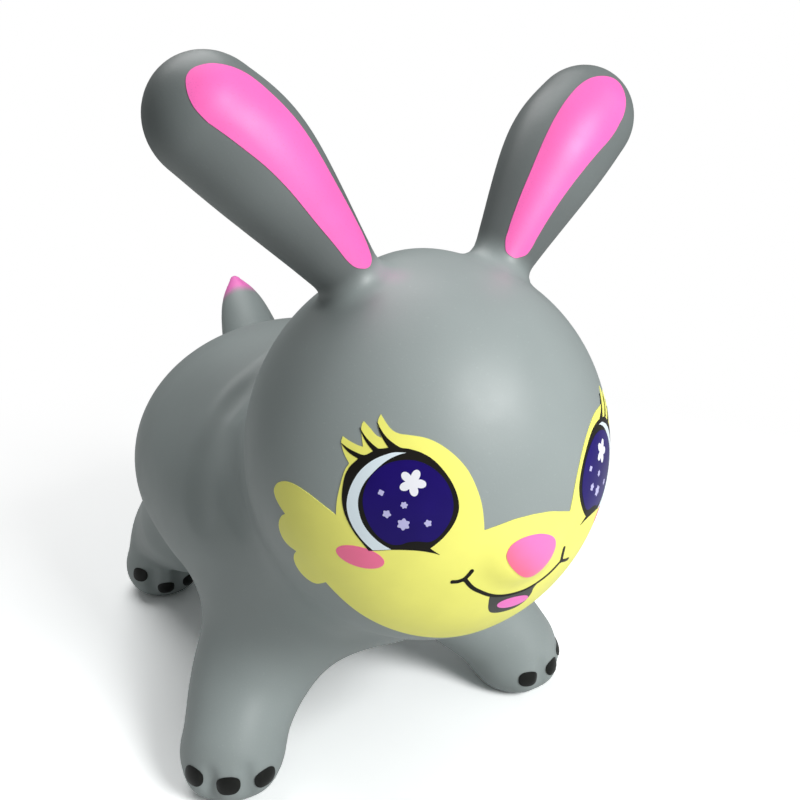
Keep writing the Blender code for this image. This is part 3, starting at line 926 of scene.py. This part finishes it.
def sampled(points, closed=False):
    """A smooth line through points, sampled about every outline step."""
    points = np.asarray(points, float)
    if closed:
        points = np.vstack([points[-1:], points, points[:2]])
    dense = smooth_rows(points, SWEEP_STEPS)
    if closed:
        dense = dense[SWEEP_STEPS:-SWEEP_STEPS]
    run = np.concatenate([[0.0], np.cumsum(np.linalg.norm(np.diff(dense[:, :2], axis=0), axis=1))])
    count = max(3, int(round(run[-1] / OUTLINE_STEP)) + 1)
    even = np.linspace(0.0, run[-1], count)
    return np.stack([np.interp(even, run, dense[:, k]) for k in range(dense.shape[1])], axis=1)


def outline(runs):
    """A closed outline whose runs meet at sharp corners."""
    return np.vstack([sampled(run)[:-1] for run in runs])


def loop(points):
    """A closed smooth outline."""
    return sampled(points, closed=True)[:-1]


def oval(across, up, half_width, half_height, tilt_degrees, square=2.0, count=OVAL_POINTS):
    """An oval outline, rounder or squarer at its corners."""
    turn = np.linspace(0.0, 2.0 * math.pi, count, endpoint=False)
    bend = 2.0 / square
    x = half_width * np.sign(np.cos(turn)) * np.abs(np.cos(turn)) ** bend
    y = half_height * np.sign(np.sin(turn)) * np.abs(np.sin(turn)) ** bend
    cos, sin = math.cos(math.radians(tilt_degrees)), math.sin(math.radians(tilt_degrees))
    return np.stack([across + x * cos - y * sin, up + x * sin + y * cos], axis=1)


def ribbon(rows):
    """Outline of a stroke with round ends, from rows of across, up and width."""
    rows = sampled(rows)
    way = np.gradient(rows[:, :2], axis=0)
    way /= np.linalg.norm(way, axis=1)[:, None]
    aside = np.stack([-way[:, 1], way[:, 0]], axis=1) * 0.5 * rows[:, 2:]
    turn = np.linspace(0.0, math.pi, CAP_POINTS)[1:-1, None]
    end = rows[-1, :2] + np.cos(turn) * aside[-1] + np.sin(turn) * way[-1] * 0.5 * rows[-1, 2]
    start = rows[0, :2] - np.cos(turn) * aside[0] - np.sin(turn) * way[0] * 0.5 * rows[0, 2]
    return np.vstack([rows[:, :2] + aside, end, (rows[:, :2] - aside)[::-1], start])


def blossom(across, up, reach, lobe, turn_degrees):
    """Outline of a glint with five round lobes."""
    turn = np.linspace(0.0, 2.0 * math.pi, BLOSSOM_POINTS, endpoint=False)
    wave = 0.5 + 0.5 * np.cos(BLOSSOM_LOBES * (turn - math.radians(turn_degrees)))
    radius = reach - LOBE_SUNK * lobe + LOBE_SWELL * lobe * np.sqrt(wave)
    return np.stack([across + radius * np.cos(turn), up + radius * np.sin(turn)], axis=1)


def speck(across, up, size, points, turn_degrees):
    """Outline of a small blunt-cornered glint."""
    turn = np.linspace(0.0, 2.0 * math.pi, SPECK_POINTS * points, endpoint=False)
    wave = np.cos(points * (turn - math.radians(turn_degrees)))
    radius = size * (SPECK_MEAN + SPECK_WAVE * wave)
    return np.stack([across + radius * np.cos(turn), up + radius * np.sin(turn)], axis=1)


def mirrored(points, midline):
    """The same outline on the rabbit's left, across the face's tilted middle line."""
    across, up = points[:, 0] - midline, points[:, 1]
    double = 2.0 * FACE_TILT
    left = -across * math.cos(double) + up * math.sin(double)
    level = across * math.sin(double) + up * math.cos(double)
    return np.stack([left + midline, level], axis=1)[::-1]


def head_rays(chart):
    """Rays from the middle of the head through points of its chart."""
    reach = np.linalg.norm(chart, axis=1) / CHART_RADIUS
    turn = np.arctan2(chart[:, 1], chart[:, 0])
    ways = np.stack([np.sin(reach) * np.cos(turn), -np.cos(reach), np.sin(reach) * np.sin(turn)], axis=1)
    return np.tile(HEAD_MIDDLE, (len(chart), 1)), ways * HEAD_HALF


def ear_rays(side):
    """Rays from an ear's axis: chart rows hold how far up the ear, and the turn in units of its radius."""
    rows, axis = ear_rows(side), ear_axis(side)
    run = (rows[:, :3] - EAR_ROOT * (side, 1.0, 1.0)) @ axis
    ahead = np.array((0.0, -1.0, 0.0))
    ahead = unit(ahead - axis * (ahead @ axis))
    inward = np.cross(ahead, axis)
    inward *= -np.sign(inward[0]) * side

    def rays(chart):
        along = chart[:, 0] * MM
        past = np.maximum(along - run[-1], 0.0)
        starts = np.stack([np.interp(along, run, rows[:, k]) for k in range(3)], axis=1)
        starts += np.outer(past, axis)
        radius = np.sqrt(np.interp(along, run, rows[:, 3]) ** 2 - past**2)
        turn = chart[:, 1] * MM / EAR_TIP_RADIUS
        ways = np.outer(np.cos(turn), ahead) + np.outer(np.sin(turn), inward)
        return starts, ways * radius[:, None]

    return rays


def foot_rays(foot, radius):
    """Rays from a foot's upright axis: chart rows hold the way round the foot and the height."""

    def rays(chart):
        turn = chart[:, 0] * MM / radius
        starts = np.tile(foot, (len(chart), 1)).astype(float)
        starts[:, 2] = chart[:, 1] * MM
        ways = np.stack([np.sin(turn), -np.cos(turn), np.zeros(len(chart))], axis=1)
        return starts, ways * radius

    return rays


def inside_of(points, rim):
    """Which points lie inside a closed outline."""
    across, up = points[:, :1], points[:, 1:]
    start, end = rim, np.roll(rim, -1, axis=0)
    rise = end[:, 1] - start[:, 1]
    run = (end[:, 0] - start[:, 0]) / np.where(rise == 0.0, 1.0, rise)
    spans = (start[:, 1] > up) != (end[:, 1] > up)
    crossed = spans & (across < start[:, 0] + (up - start[:, 1]) * run)
    return crossed.sum(axis=1) % 2 == 1


def even_grid(rim, cell):
    """Points spread evenly inside an outline, clear of it."""
    low, high = rim.min(axis=0), rim.max(axis=0)
    rows = []
    for number, up in enumerate(np.arange(low[1], high[1], cell * math.sqrt(0.75))):
        across = np.arange(low[0] + 0.5 * cell * (number % 2), high[0], cell)
        rows.append(np.stack([across, np.full(len(across), up)], axis=1))
    grid = np.vstack(rows)
    grid = grid[inside_of(grid, rim)]
    gaps = [np.linalg.norm(rim - place, axis=1).min() for place in grid]
    return grid[np.array(gaps) > RIM_SHARE * cell] if gaps else grid


def filled(outlines, cell):
    """Chart points and triangles that fill closed outlines."""
    loops, count = [], 0
    for rim in outlines:
        loops.append(list(range(count, count + len(rim))))
        count += len(rim)
    points = np.vstack([*outlines, *[even_grid(rim, cell) for rim in outlines]])
    made = delaunay_2d_cdt([Vector(place) for place in points], [], loops, 1, WELD)
    return np.array([tuple(place) for place in made[0]]), [list(face) for face in made[2]]


def film_mesh(name, outlines, rays, field, lift, cell=FILM_CELL, crown=0.0):
    """A thin closed film of paint inside outlines of a chart, thicker at its middle by crown."""
    chart, tops = filled(outlines, cell)
    if not tops:
        raise RuntimeError(f"{name} has no faces")
    sides = [(top[k - 1], top[k]) for top in tops for k in range(3)]
    inner = set(sides)
    rims = [(start, end) for start, end in sides if (end, start) not in inner]
    places = on_skin(field, *rays(chart))
    normals = normals_of(field, places)
    middle = 0.5 * (chart.max(axis=0) + chart.min(axis=0))
    half = 0.5 * (chart.max(axis=0) - chart.min(axis=0))
    swell = crown * np.clip(1.0 - (((chart - middle) / half) ** 2).sum(axis=1), 0.0, 1.0)
    a, b, c = (places[[top[k] for top in tops]] for k in range(3))
    facing = (np.cross(b - a, c - a) * normals[[top[0] for top in tops]]).sum()
    if facing < 0.0:
        tops = [top[::-1] for top in tops]
        rims = [rim[::-1] for rim in rims]
    count = len(chart)
    faces = tops + [[corner + count for corner in top[::-1]] for top in tops]
    faces += [(end, start, start + count, end + count) for start, end in rims]
    mesh = bpy.data.meshes.new(name)
    outside = places + normals * (lift + swell)[:, None]
    mesh.from_pydata(np.vstack([outside, places - normals * FILM_DEPTH]).tolist(), [], faces)
    mesh.shade_smooth()
    mesh.set_sharp_from_angle(angle=SHARP_EDGE)
    return mesh


def turned_mesh(name, profile):
    """A closed form turned about the valve's axis, from rows of radius and height that run downward."""
    bm = bmesh.new()
    closed = profile[0][0] > 0.0
    corners = [bm.verts.new((radius, 0.0, height)) for radius, height in profile]
    chain = list(zip(corners, corners[1:]))
    if closed:
        chain.append((corners[-1], corners[0]))
    edges = [bm.edges.new(pair) for pair in chain]
    bmesh.ops.spin(
        bm, geom=corners + edges, cent=(0, 0, 0), axis=(0, 0, 1),
        angle=2.0 * math.pi, steps=TURNED_SIDES, use_merge=True,
    )
    bmesh.ops.remove_doubles(bm, verts=bm.verts, dist=WELD)
    bmesh.ops.recalc_face_normals(bm, faces=bm.faces)
    turn = VALVE_AXIS.to_track_quat("Z", "X").to_matrix().to_4x4()
    bmesh.ops.transform(bm, matrix=Matrix.Translation(VALVE_SEAT) @ turn, verts=bm.verts)
    mesh = bpy.data.meshes.new(name)
    bm.to_mesh(mesh)
    bm.free()
    mesh.shade_smooth()
    mesh.set_sharp_from_angle(angle=SHARP_EDGE)
    return mesh


def node(tree, kind, inputs=(), **settings):
    """Add a node to a tree, with its settings and what its inputs hold or are linked to."""
    made = tree.nodes.new(kind)
    for key, value in settings.items():
        setattr(made, key, value)
    for key, value in dict(inputs).items():
        if isinstance(value, bpy.types.NodeSocket):
            tree.links.new(value, made.inputs[key])
        else:
            made.inputs[key].default_value = value
    return made


def new_material(name):
    """An empty material, its tree, its shader and the coordinates of the frame."""
    material = bpy.data.materials.new(name)
    material.use_nodes = True
    tree = material.node_tree
    shader = tree.nodes["Principled BSDF"]
    place = tree.nodes.new("ShaderNodeTexCoord").outputs["Object"]
    return material, tree, shader, place


def noise(tree, place, scale, detail=2.0, roughness=0.5):
    inputs = {"Vector": place, "Scale": scale, "Detail": detail, "Roughness": roughness}
    return node(tree, "ShaderNodeTexNoise", inputs).outputs["Fac"]


def ranged(tree, value, low, high, to_low, to_high, smooth=False):
    """A value mapped from one range to another and held to it."""
    inputs = {"Value": value, "From Min": low, "From Max": high, "To Min": to_low, "To Max": to_high}
    kind = "SMOOTHSTEP" if smooth else "LINEAR"
    return node(tree, "ShaderNodeMapRange", inputs, interpolation_type=kind).outputs["Result"]


def mixed(tree, share, one, other):
    """One colour passing to another by a share."""
    inputs = {"Factor": share, 6: one, 7: other}
    return node(tree, "ShaderNodeMix", inputs, data_type="RGBA").outputs[2]


def maths(tree, operation, one, other):
    return node(tree, "ShaderNodeMath", {0: one, 1: other}, operation=operation).outputs[0]


def measured(tree, operation, *vectors):
    """The number that an operation on vectors gives."""
    inputs = dict(enumerate(vectors))
    return node(tree, "ShaderNodeVectorMath", inputs, operation=operation).outputs["Value"]


def clouded(tree, place, scale):
    """Soft clouds from none to full."""
    return ranged(tree, noise(tree, place, scale, CLOUD_DETAIL), *CLOUD_RANGE, 0.0, 1.0)


def shade(colour, times):
    return (*[min(1.0, part * times) for part in colour], 1.0)


def grained(tree, shader, place, grain, depth, low, high):
    """Fine moulded grain and patches of unlike gloss."""
    fine = noise(tree, place, grain, GRAIN_DETAIL)
    broad = noise(tree, place, grain * BROAD_GRAIN)
    relief = maths(tree, "ADD", fine, maths(tree, "MULTIPLY", broad, BROAD_SHARE))
    bump = node(tree, "ShaderNodeBump", {"Strength": GRAIN_STRENGTH, "Distance": depth, "Height": relief})
    tree.links.new(bump.outputs["Normal"], shader.inputs["Normal"])
    smudge = noise(tree, place, SMUDGE_SCALE, SMUDGE_DETAIL, SMUDGE_ROUGH)
    tree.links.new(ranged(tree, smudge, *CLOUD_RANGE, low, high), shader.inputs["Roughness"])


def vinyl():
    """Satin grey vinyl with painted shade up the ears, darkest at their roots, with the tail's sprayed tip
    and a pink mist beside an ear.
    """
    skin = bpy.context.scene.hopper_skin
    material, tree, shader, place = new_material("vinyl")
    cloud = clouded(tree, place, VINYL_CLOUD)
    grey = mixed(tree, cloud, shade(skin.grey, 1.0 - VINYL_SPREAD), shade(skin.grey, 1.0 + VINYL_SPREAD))
    dust = ranged(tree, noise(tree, place, DUST_SCALE, 1.0), *DUST_RANGE, 0.0, DUST_SHARE)
    grey = mixed(tree, dust, grey, shade(skin.grey, DUST_SHADE))
    # Painted shade: the grey is darkened most at each ear's root crease and a little less up the ear
    either = node(tree, "ShaderNodeVectorMath", {0: place}, operation="ABSOLUTE").outputs["Vector"]
    reach = measured(tree, "DOT_PRODUCT", either, (math.sin(EAR_LEAN), 0.0, math.cos(EAR_LEAN)))
    root = ranged(tree, reach, *ROOT_PAINTED_SHADE_REACH, 1.0, skin.root_painted_shade, True)
    rest = ranged(tree, reach, *EAR_PAINTED_SHADE_REACH, 0.0, skin.ear_painted_shade - skin.root_painted_shade, True)
    painted_shade_factor = maths(tree, "ADD", root, rest)
    grey = node(tree, "ShaderNodeVectorMath", {0: grey, "Scale": painted_shade_factor}, operation="SCALE").outputs["Vector"]
    spray = noise(tree, place, SPRAY_SCALE, 1.0)
    axis = tail_axis()
    tip = float((TAIL_ROOT + axis * TAIL_LENGTH) @ axis)
    patchy = maths(tree, "MULTIPLY", maths(tree, "SUBTRACT", spray, 0.5), SPRAY_PATCH)
    wander = maths(tree, "MULTIPLY", noise(tree, place, EDGE_SCALE), EDGE_WANDER)
    wander = maths(tree, "ADD", wander, patchy)
    reach = maths(tree, "ADD", measured(tree, "DOT_PRODUCT", place, tuple(axis)), wander)
    fade = tip - skin.tail_fade, tip - TAIL_FULL * skin.tail_fade
    tail = ranged(tree, reach, *fade, 0.0, 1.0, True)
    grey = mixed(tree, tail, grey, shade(skin.pink, 1.0))
    near = measured(tree, "DISTANCE", place, MIST_PLACE)
    mist = ranged(tree, near, MIST_RADIUS, 0.0, 0.0, MIST_SHARE, True)
    mist = maths(tree, "MULTIPLY", mist, ranged(tree, spray, *MIST_SPECKS, MIST_THIN, 1.0))
    grey = mixed(tree, mist, grey, shade(skin.pink, MIST_SHADE))
    tree.links.new(grey, shader.inputs["Base Color"])
    grained(tree, shader, place, VINYL_GRAIN, VINYL_DEPTH, *VINYL_ROUGH)
    return material


def paint(name, colour):
    """A coat of ink or spray, a little uneven, with flecks of thinner paint."""
    coat = COATS[name]
    material, tree, shader, place = new_material(name)
    cloud = clouded(tree, place, COAT_CLOUD)
    ink = mixed(tree, cloud, shade(colour, 1.0 - coat.spread), shade(colour, 1.0 + coat.spread))
    if coat.fleck:
        share = ranged(tree, noise(tree, place, FLECK_SCALE, 1.0), *FLECK_RANGE, 0.0, coat.fleck)
        ink = mixed(tree, share, ink, shade(colour, FLECK_SHADE))
    tree.links.new(ink, shader.inputs["Base Color"])
    shader.inputs["Specular IOR Level"].default_value = coat.gloss
    grained(tree, shader, place, coat.grain, COAT_DEPTH, coat.low, coat.high)
    return material


def two_tone(name, one, other, start, end):
    """A sprayed coat that passes from one colour to another between two places."""
    material, tree, shader, place = new_material(name)
    way = np.asarray(end) - np.asarray(start)
    length = float(np.linalg.norm(way))
    axis = way / length
    first = float(np.asarray(start) @ axis)
    wander = maths(tree, "MULTIPLY", noise(tree, place, NOSE_EDGE_SCALE), NOSE_EDGE_SHARE * length)
    along = maths(tree, "ADD", measured(tree, "DOT_PRODUCT", place, tuple(axis)), wander)
    share = ranged(tree, along, first, first + length, 0.0, 1.0, True)
    tree.links.new(mixed(tree, share, (*one, 1.0), (*other, 1.0)), shader.inputs["Base Color"])
    grained(tree, shader, place, COAT_GRAIN, NOSE_DEPTH, *NOSE_ROUGH)
    return material


def quarter_turn(steps):
    return [0.5 * math.pi * k / steps for k in range(steps + 1)]


def collar_profile():
    """Half section of the collar: a round-edged ring with the bore through it."""
    turn = quarter_turn(COLLAR_STEPS)
    outer = COLLAR_RADIUS - COLLAR_ROUND
    inner = BORE_RADIUS + COLLAR_ROUND
    rim = [(outer + COLLAR_ROUND * math.sin(a), -COLLAR_ROUND * (1.0 - math.cos(a))) for a in turn]
    lip = [(inner - COLLAR_ROUND * math.sin(a), -COLLAR_ROUND * (1.0 - math.cos(a))) for a in turn]
    foot = [(COLLAR_RADIUS, -COLLAR_DEPTH), (BORE_RADIUS, -COLLAR_DEPTH)]
    return lip[::-1] + rim + foot


def plug_profile():
    """Half section of the plug, from the top of its flange down to the tip of its stem."""
    top = PLUG_GAP + PLUG_FLANGE_THICKNESS
    inner = PLUG_FLANGE_RADIUS - PLUG_EDGE_ROUND
    dish = top - PLUG_DISH_DEPTH
    points = [(0.0, dish), (PLUG_DISH_RADIUS, dish), (PLUG_DISH_RIM, top)]
    for angle in quarter_turn(PLUG_STEPS):
        fall = PLUG_EDGE_ROUND * (1.0 - math.cos(angle))
        points.append((inner + PLUG_EDGE_ROUND * math.sin(angle), top - fall))
    points += [(PLUG_FLANGE_RADIUS, PLUG_GAP), (PLUG_STEM_RADIUS, PLUG_GAP)]
    for rib in range(PLUG_RIB_COUNT):
        crest = -PLUG_RIB_PITCH * (rib + 0.5)
        points += [
            (PLUG_STEM_RADIUS, crest + PLUG_RIB_HEIGHT),
            (PLUG_STEM_RADIUS + PLUG_RIB_HEIGHT, crest),
            (PLUG_STEM_RADIUS, crest - PLUG_RIB_HEIGHT),
        ]
    points += [(PLUG_TIP_RADIUS, -PLUG_STEM_LENGTH), (0.0, -PLUG_STEM_LENGTH)]
    return points


def add_floor(stage):
    """A wide pale floor that fades into the white round it."""
    bm = bmesh.new()
    bmesh.ops.create_circle(bm, cap_ends=True, segments=FLOOR_SIDES, radius=FLOOR_RADIUS)
    mesh = bpy.data.meshes.new("floor")
    bm.to_mesh(mesh)
    bm.free()
    material = bpy.data.materials.new("floor")
    material.use_nodes = True
    tree = material.node_tree
    tree.nodes.clear()
    place = tree.nodes.new("ShaderNodeTexCoord").outputs["Object"]
    path = tree.nodes.new("ShaderNodeLightPath")
    far = measured(tree, "LENGTH", place)
    fade = ranged(tree, far, *FLOOR_FADE, 0.0, 1.0, True)
    seen = maths(tree, "MULTIPLY", fade, path.outputs["Is Camera Ray"])
    bright = [part * stage.floor_lift for part in stage.floor]
    colour = mixed(tree, path.outputs["Is Camera Ray"], (*stage.floor, 1.0), (*bright, 1.0))
    matt = node(tree, "ShaderNodeBsdfDiffuse", {"Color": colour})
    white = node(tree, "ShaderNodeEmission", {"Color": WHITE, "Strength": 1.0})
    blend = node(tree, "ShaderNodeMixShader", {0: seen, 1: matt.outputs[0], 2: white.outputs[0]})
    node(tree, "ShaderNodeOutputMaterial", {"Surface": blend.outputs[0]})
    mesh.materials.append(material)
    floor = bpy.data.objects.new("floor", mesh)
    bpy.context.scene.collection.objects.link(floor)


def add_sky(stage):
    """Even pale light all round, which the camera sees as white."""
    world = bpy.data.worlds.new("studio")
    world.use_nodes = True
    tree = world.node_tree
    tree.nodes.clear()
    path = tree.nodes.new("ShaderNodeLightPath")
    strength = ranged(tree, path.outputs["Is Camera Ray"], 0.0, 1.0, stage.sky, 1.0)
    sky = node(tree, "ShaderNodeBackground", {"Color": WHITE, "Strength": strength})
    node(tree, "ShaderNodeOutputWorld", {"Surface": sky.outputs[0]})
    bpy.context.scene.world = world


def add_lamp(name, middle, way, distance, size, power):
    """A soft square lamp that faces the object."""
    data = bpy.data.lights.new(name, "AREA")
    data.size = size
    data.energy = power
    lamp = bpy.data.objects.new(name, data)
    toward = Vector(way).normalized()
    lamp.location = middle + toward * distance
    lamp.rotation_mode = "QUATERNION"
    lamp.rotation_quaternion = (-toward).to_track_quat("-Z", "Y")
    bpy.context.scene.collection.objects.link(lamp)


class HOPPER_OT_skin(bpy.types.Operator):
    """Inflate one smooth skin over the frame's zones"""

    bl_idname = "hopper.skin"
    bl_label = "Skin"

    def execute(self, context):
        skin = piece("skin", skin_mesh("skin", skin_field()), vinyl(), "skin")
        cutter = bpy.data.objects.new("socket", turned_mesh("socket", SOCKET_PROFILE))
        context.scene.collection.objects.link(cutter)
        cut = skin.modifiers.new("socket", "BOOLEAN")
        cut.operation = "DIFFERENCE"
        cut.solver = "EXACT"
        cut.object = cutter
        graph = context.evaluated_depsgraph_get()
        skin.data = bpy.data.meshes.new_from_object(skin.evaluated_get(graph))
        skin.modifiers.remove(cut)
        bpy.data.objects.remove(cutter)
        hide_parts(*SKIN_NODES)
        return {"FINISHED"}


class HOPPER_OT_valve(bpy.types.Operator):
    """Turn the valve's collar and its push-in plug"""

    bl_idname = "hopper.valve"
    bl_label = "Valve"

    def execute(self, context):
        collar = turned_mesh("valve_collar", collar_profile())
        piece("valve_collar", collar, vinyl(), "skin")
        white = paint("plug_white", PLUG_WHITE)
        plug = piece("push_plug", turned_mesh("push_plug", plug_profile()), white, "plug")
        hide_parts("air_plug")
        return {"FINISHED"}


class HOPPER_OT_face(bpy.types.Operator):
    """Print the face on the head"""

    bl_idname = "hopper.face"
    bl_label = "Face"

    def execute(self, context):
        face = context.scene.hopper_face
        field = skin_field()

        def printed(name, outlines, material, coats, cell=FINE_FILM_CELL):
            mesh = film_mesh(name, outlines, head_rays, field, PRINT_LIFT + coats * face.film, cell)
            return piece(name, mesh, material, "skin")

        half = outline(MASK_RUNS)
        whole = np.vstack([half, mirrored(half, MASK_MIDLINE)])
        printed("face_mask", [whole], paint("mask_yellow", face.yellow), 1, FILM_CELL)
        line = paint("line_black", face.line)
        white = paint("eye_white", face.white)
        iris = paint("iris_violet", face.iris)
        bright = paint("glint_white", face.glint)
        dim = paint("sparkle_lilac", face.sparkle)
        rosy = paint("blush_pink", face.blush)
        eye, crescent, disc = outline(EYE_RUNS), outline(WHITE_RUNS), loop(IRIS_LOOP)
        cheek = oval(*BLUSH)
        for label in ("right", "left"):
            if label == "left":
                eye, crescent, disc = (mirrored(shape, EYE_MIDLINE) for shape in (eye, crescent, disc))
                cheek = mirrored(cheek, EYE_MIDLINE)
            shift = np.array(GLINT_SHIFT) * (label == "left")
            printed(f"{label}_eye_lines", [eye], line, 3)
            printed(f"{label}_eye_white", [crescent], white, 4)
            printed(f"{label}_iris", [disc], iris, 4)
            printed(f"{label}_glint", [blossom(*BLOSSOM) + shift], bright, 5)
            printed(f"{label}_sparkles", [speck(*glint) + shift for glint in GLINTS], dim, 5)
            printed(f"{label}_blush", [cheek], rosy, 2)
        printed("mouth_opening", [outline(MOUTH_RUNS)], paint("mouth_grey", face.mouth), 2)
        pink = paint("tongue_pink", context.scene.hopper_skin.pink)
        printed("tongue", [oval(*TONGUE)], pink, 3)
        printed("smile", [ribbon(SMILE)], line, 3)
        for number, tick in enumerate(SMILE_TICKS):
            printed(f"smile_tick_{number}", [ribbon(tick)], line, 4)
        rose = two_tone("nose_rose", face.nose, face.nose_pale, *NOSE_FADE)
        printed("nose_paint", [loop(NOSE_LOOP)], rose, 4)
        return {"FINISHED"}


class HOPPER_OT_ears(bpy.types.Operator):
    """Spray the insides of the ears"""

    bl_idname = "hopper.ears"
    bl_label = "Ear insides"

    def execute(self, context):
        pink = paint("ear_pink", context.scene.hopper_skin.ear_pink)
        field = skin_field()
        lift = PRINT_LIFT + context.scene.hopper_face.film
        for label, side in SIDES.items():
            name = f"{label}_ear_inside"
            chart = np.array(EAR_PANEL_LOOPS[label], float)
            chart[:, 1] = np.radians(chart[:, 1]) * EAR_TIP_RADIUS / MM
            mesh = film_mesh(name, [loop(chart)], ear_rays(side), field, lift)
            piece(name, mesh, pink, "skin")
        return {"FINISHED"}


class HOPPER_OT_nails(bpy.types.Operator):
    """Paint three nails on each foot"""

    bl_idname = "hopper.nails"
    bl_label = "Nails"

    def execute(self, context):
        black = paint("nail_black", context.scene.hopper_skin.black)
        field = skin_field()
        for leg in legs():
            rays = foot_rays(leg.foot, leg.radius)
            for number, (turn, rise) in enumerate(zip(leg.turns, leg.rises)):
                name = f"{leg.label}_nail_{number}"
                around = turn * leg.radius / MM
                rim = oval(around, rise, 0.5 * NAIL_WIDTH, 0.5 * NAIL_HEIGHT, 0.0, NAIL_SQUARE, NAIL_POINTS)
                mesh = film_mesh(name, [rim], rays, field, NAIL_LIFT, FINE_FILM_CELL, NAIL_CROWN)
                piece(name, mesh, black, "skin")
        return {"FINISHED"}


class HOPPER_OT_stage(bpy.types.Operator):
    """Set the floor, the light and the camera"""

    bl_idname = "hopper.stage"
    bl_label = "Stage"

    def execute(self, context):
        stage = context.scene.hopper_stage
        context.scene.view_settings.view_transform = "Standard"
        add_floor(stage)
        add_sky(stage)
        middle = 0.5 * (Vector(CAD_BOX[0]) + Vector(CAD_BOX[1]))
        add_lamp("key", middle, KEY_WAY, KEY_DISTANCE, KEY_SIZE, stage.key_power)
        add_lamp("fill", middle, FILL_WAY, FILL_DISTANCE, FILL_SIZE, stage.fill_power)
        lens = bpy.data.cameras.new("camera")
        lens.sensor_width = SENSOR_WIDTH
        lens.lens = CAMERA_FOCUS * SENSOR_WIDTH / IMAGE_SIZE
        camera = bpy.data.objects.new("camera", lens)
        camera.location = CAMERA_PLACE
        camera.rotation_mode = "QUATERNION"
        camera.rotation_quaternion = (CAMERA_TARGET - CAMERA_PLACE).to_track_quat("-Z", "Y")
        context.scene.collection.objects.link(camera)
        context.scene.camera = camera
        return {"FINISHED"}


class HOPPER_PT_parts(bpy.types.Panel):
    """Lists what the hopper is dressed with"""

    bl_idname = "HOPPER_PT_parts"
    bl_label = "Animal hopper"
    bl_space_type = "VIEW_3D"
    bl_region_type = "UI"
    bl_category = "Hopper"

    def draw(self, context):
        for group in (context.scene.hopper_skin, context.scene.hopper_face, context.scene.hopper_stage):
            box = self.layout.box()
            for key in group.__annotations__:
                box.prop(group, key)
        for operator in OPERATORS:
            self.layout.operator(operator.bl_idname)


GROUPS = {"hopper_skin": HopperSkin, "hopper_face": HopperFace, "hopper_stage": HopperStage}
OPERATORS = (
    HOPPER_OT_skin,
    HOPPER_OT_valve,
    HOPPER_OT_ears,
    HOPPER_OT_face,
    HOPPER_OT_nails,
    HOPPER_OT_stage,
)


def register():
    for kind in (*GROUPS.values(), *OPERATORS, HOPPER_PT_parts):
        bpy.utils.register_class(kind)
    for name, group in GROUPS.items():
        setattr(bpy.types.Scene, name, PointerProperty(type=group))


def unregister():
    for name in GROUPS:
        delattr(bpy.types.Scene, name)
    for kind in (HOPPER_PT_parts, *reversed(OPERATORS), *reversed(GROUPS.values())):
        bpy.utils.unregister_class(kind)


def main():
    register()
    bpy.ops.hopper.skin()
    bpy.ops.hopper.valve()
    bpy.ops.hopper.ears()
    bpy.ops.hopper.face()
    bpy.ops.hopper.nails()
    bpy.ops.hopper.stage()


if __name__ == "__main__":
    main()
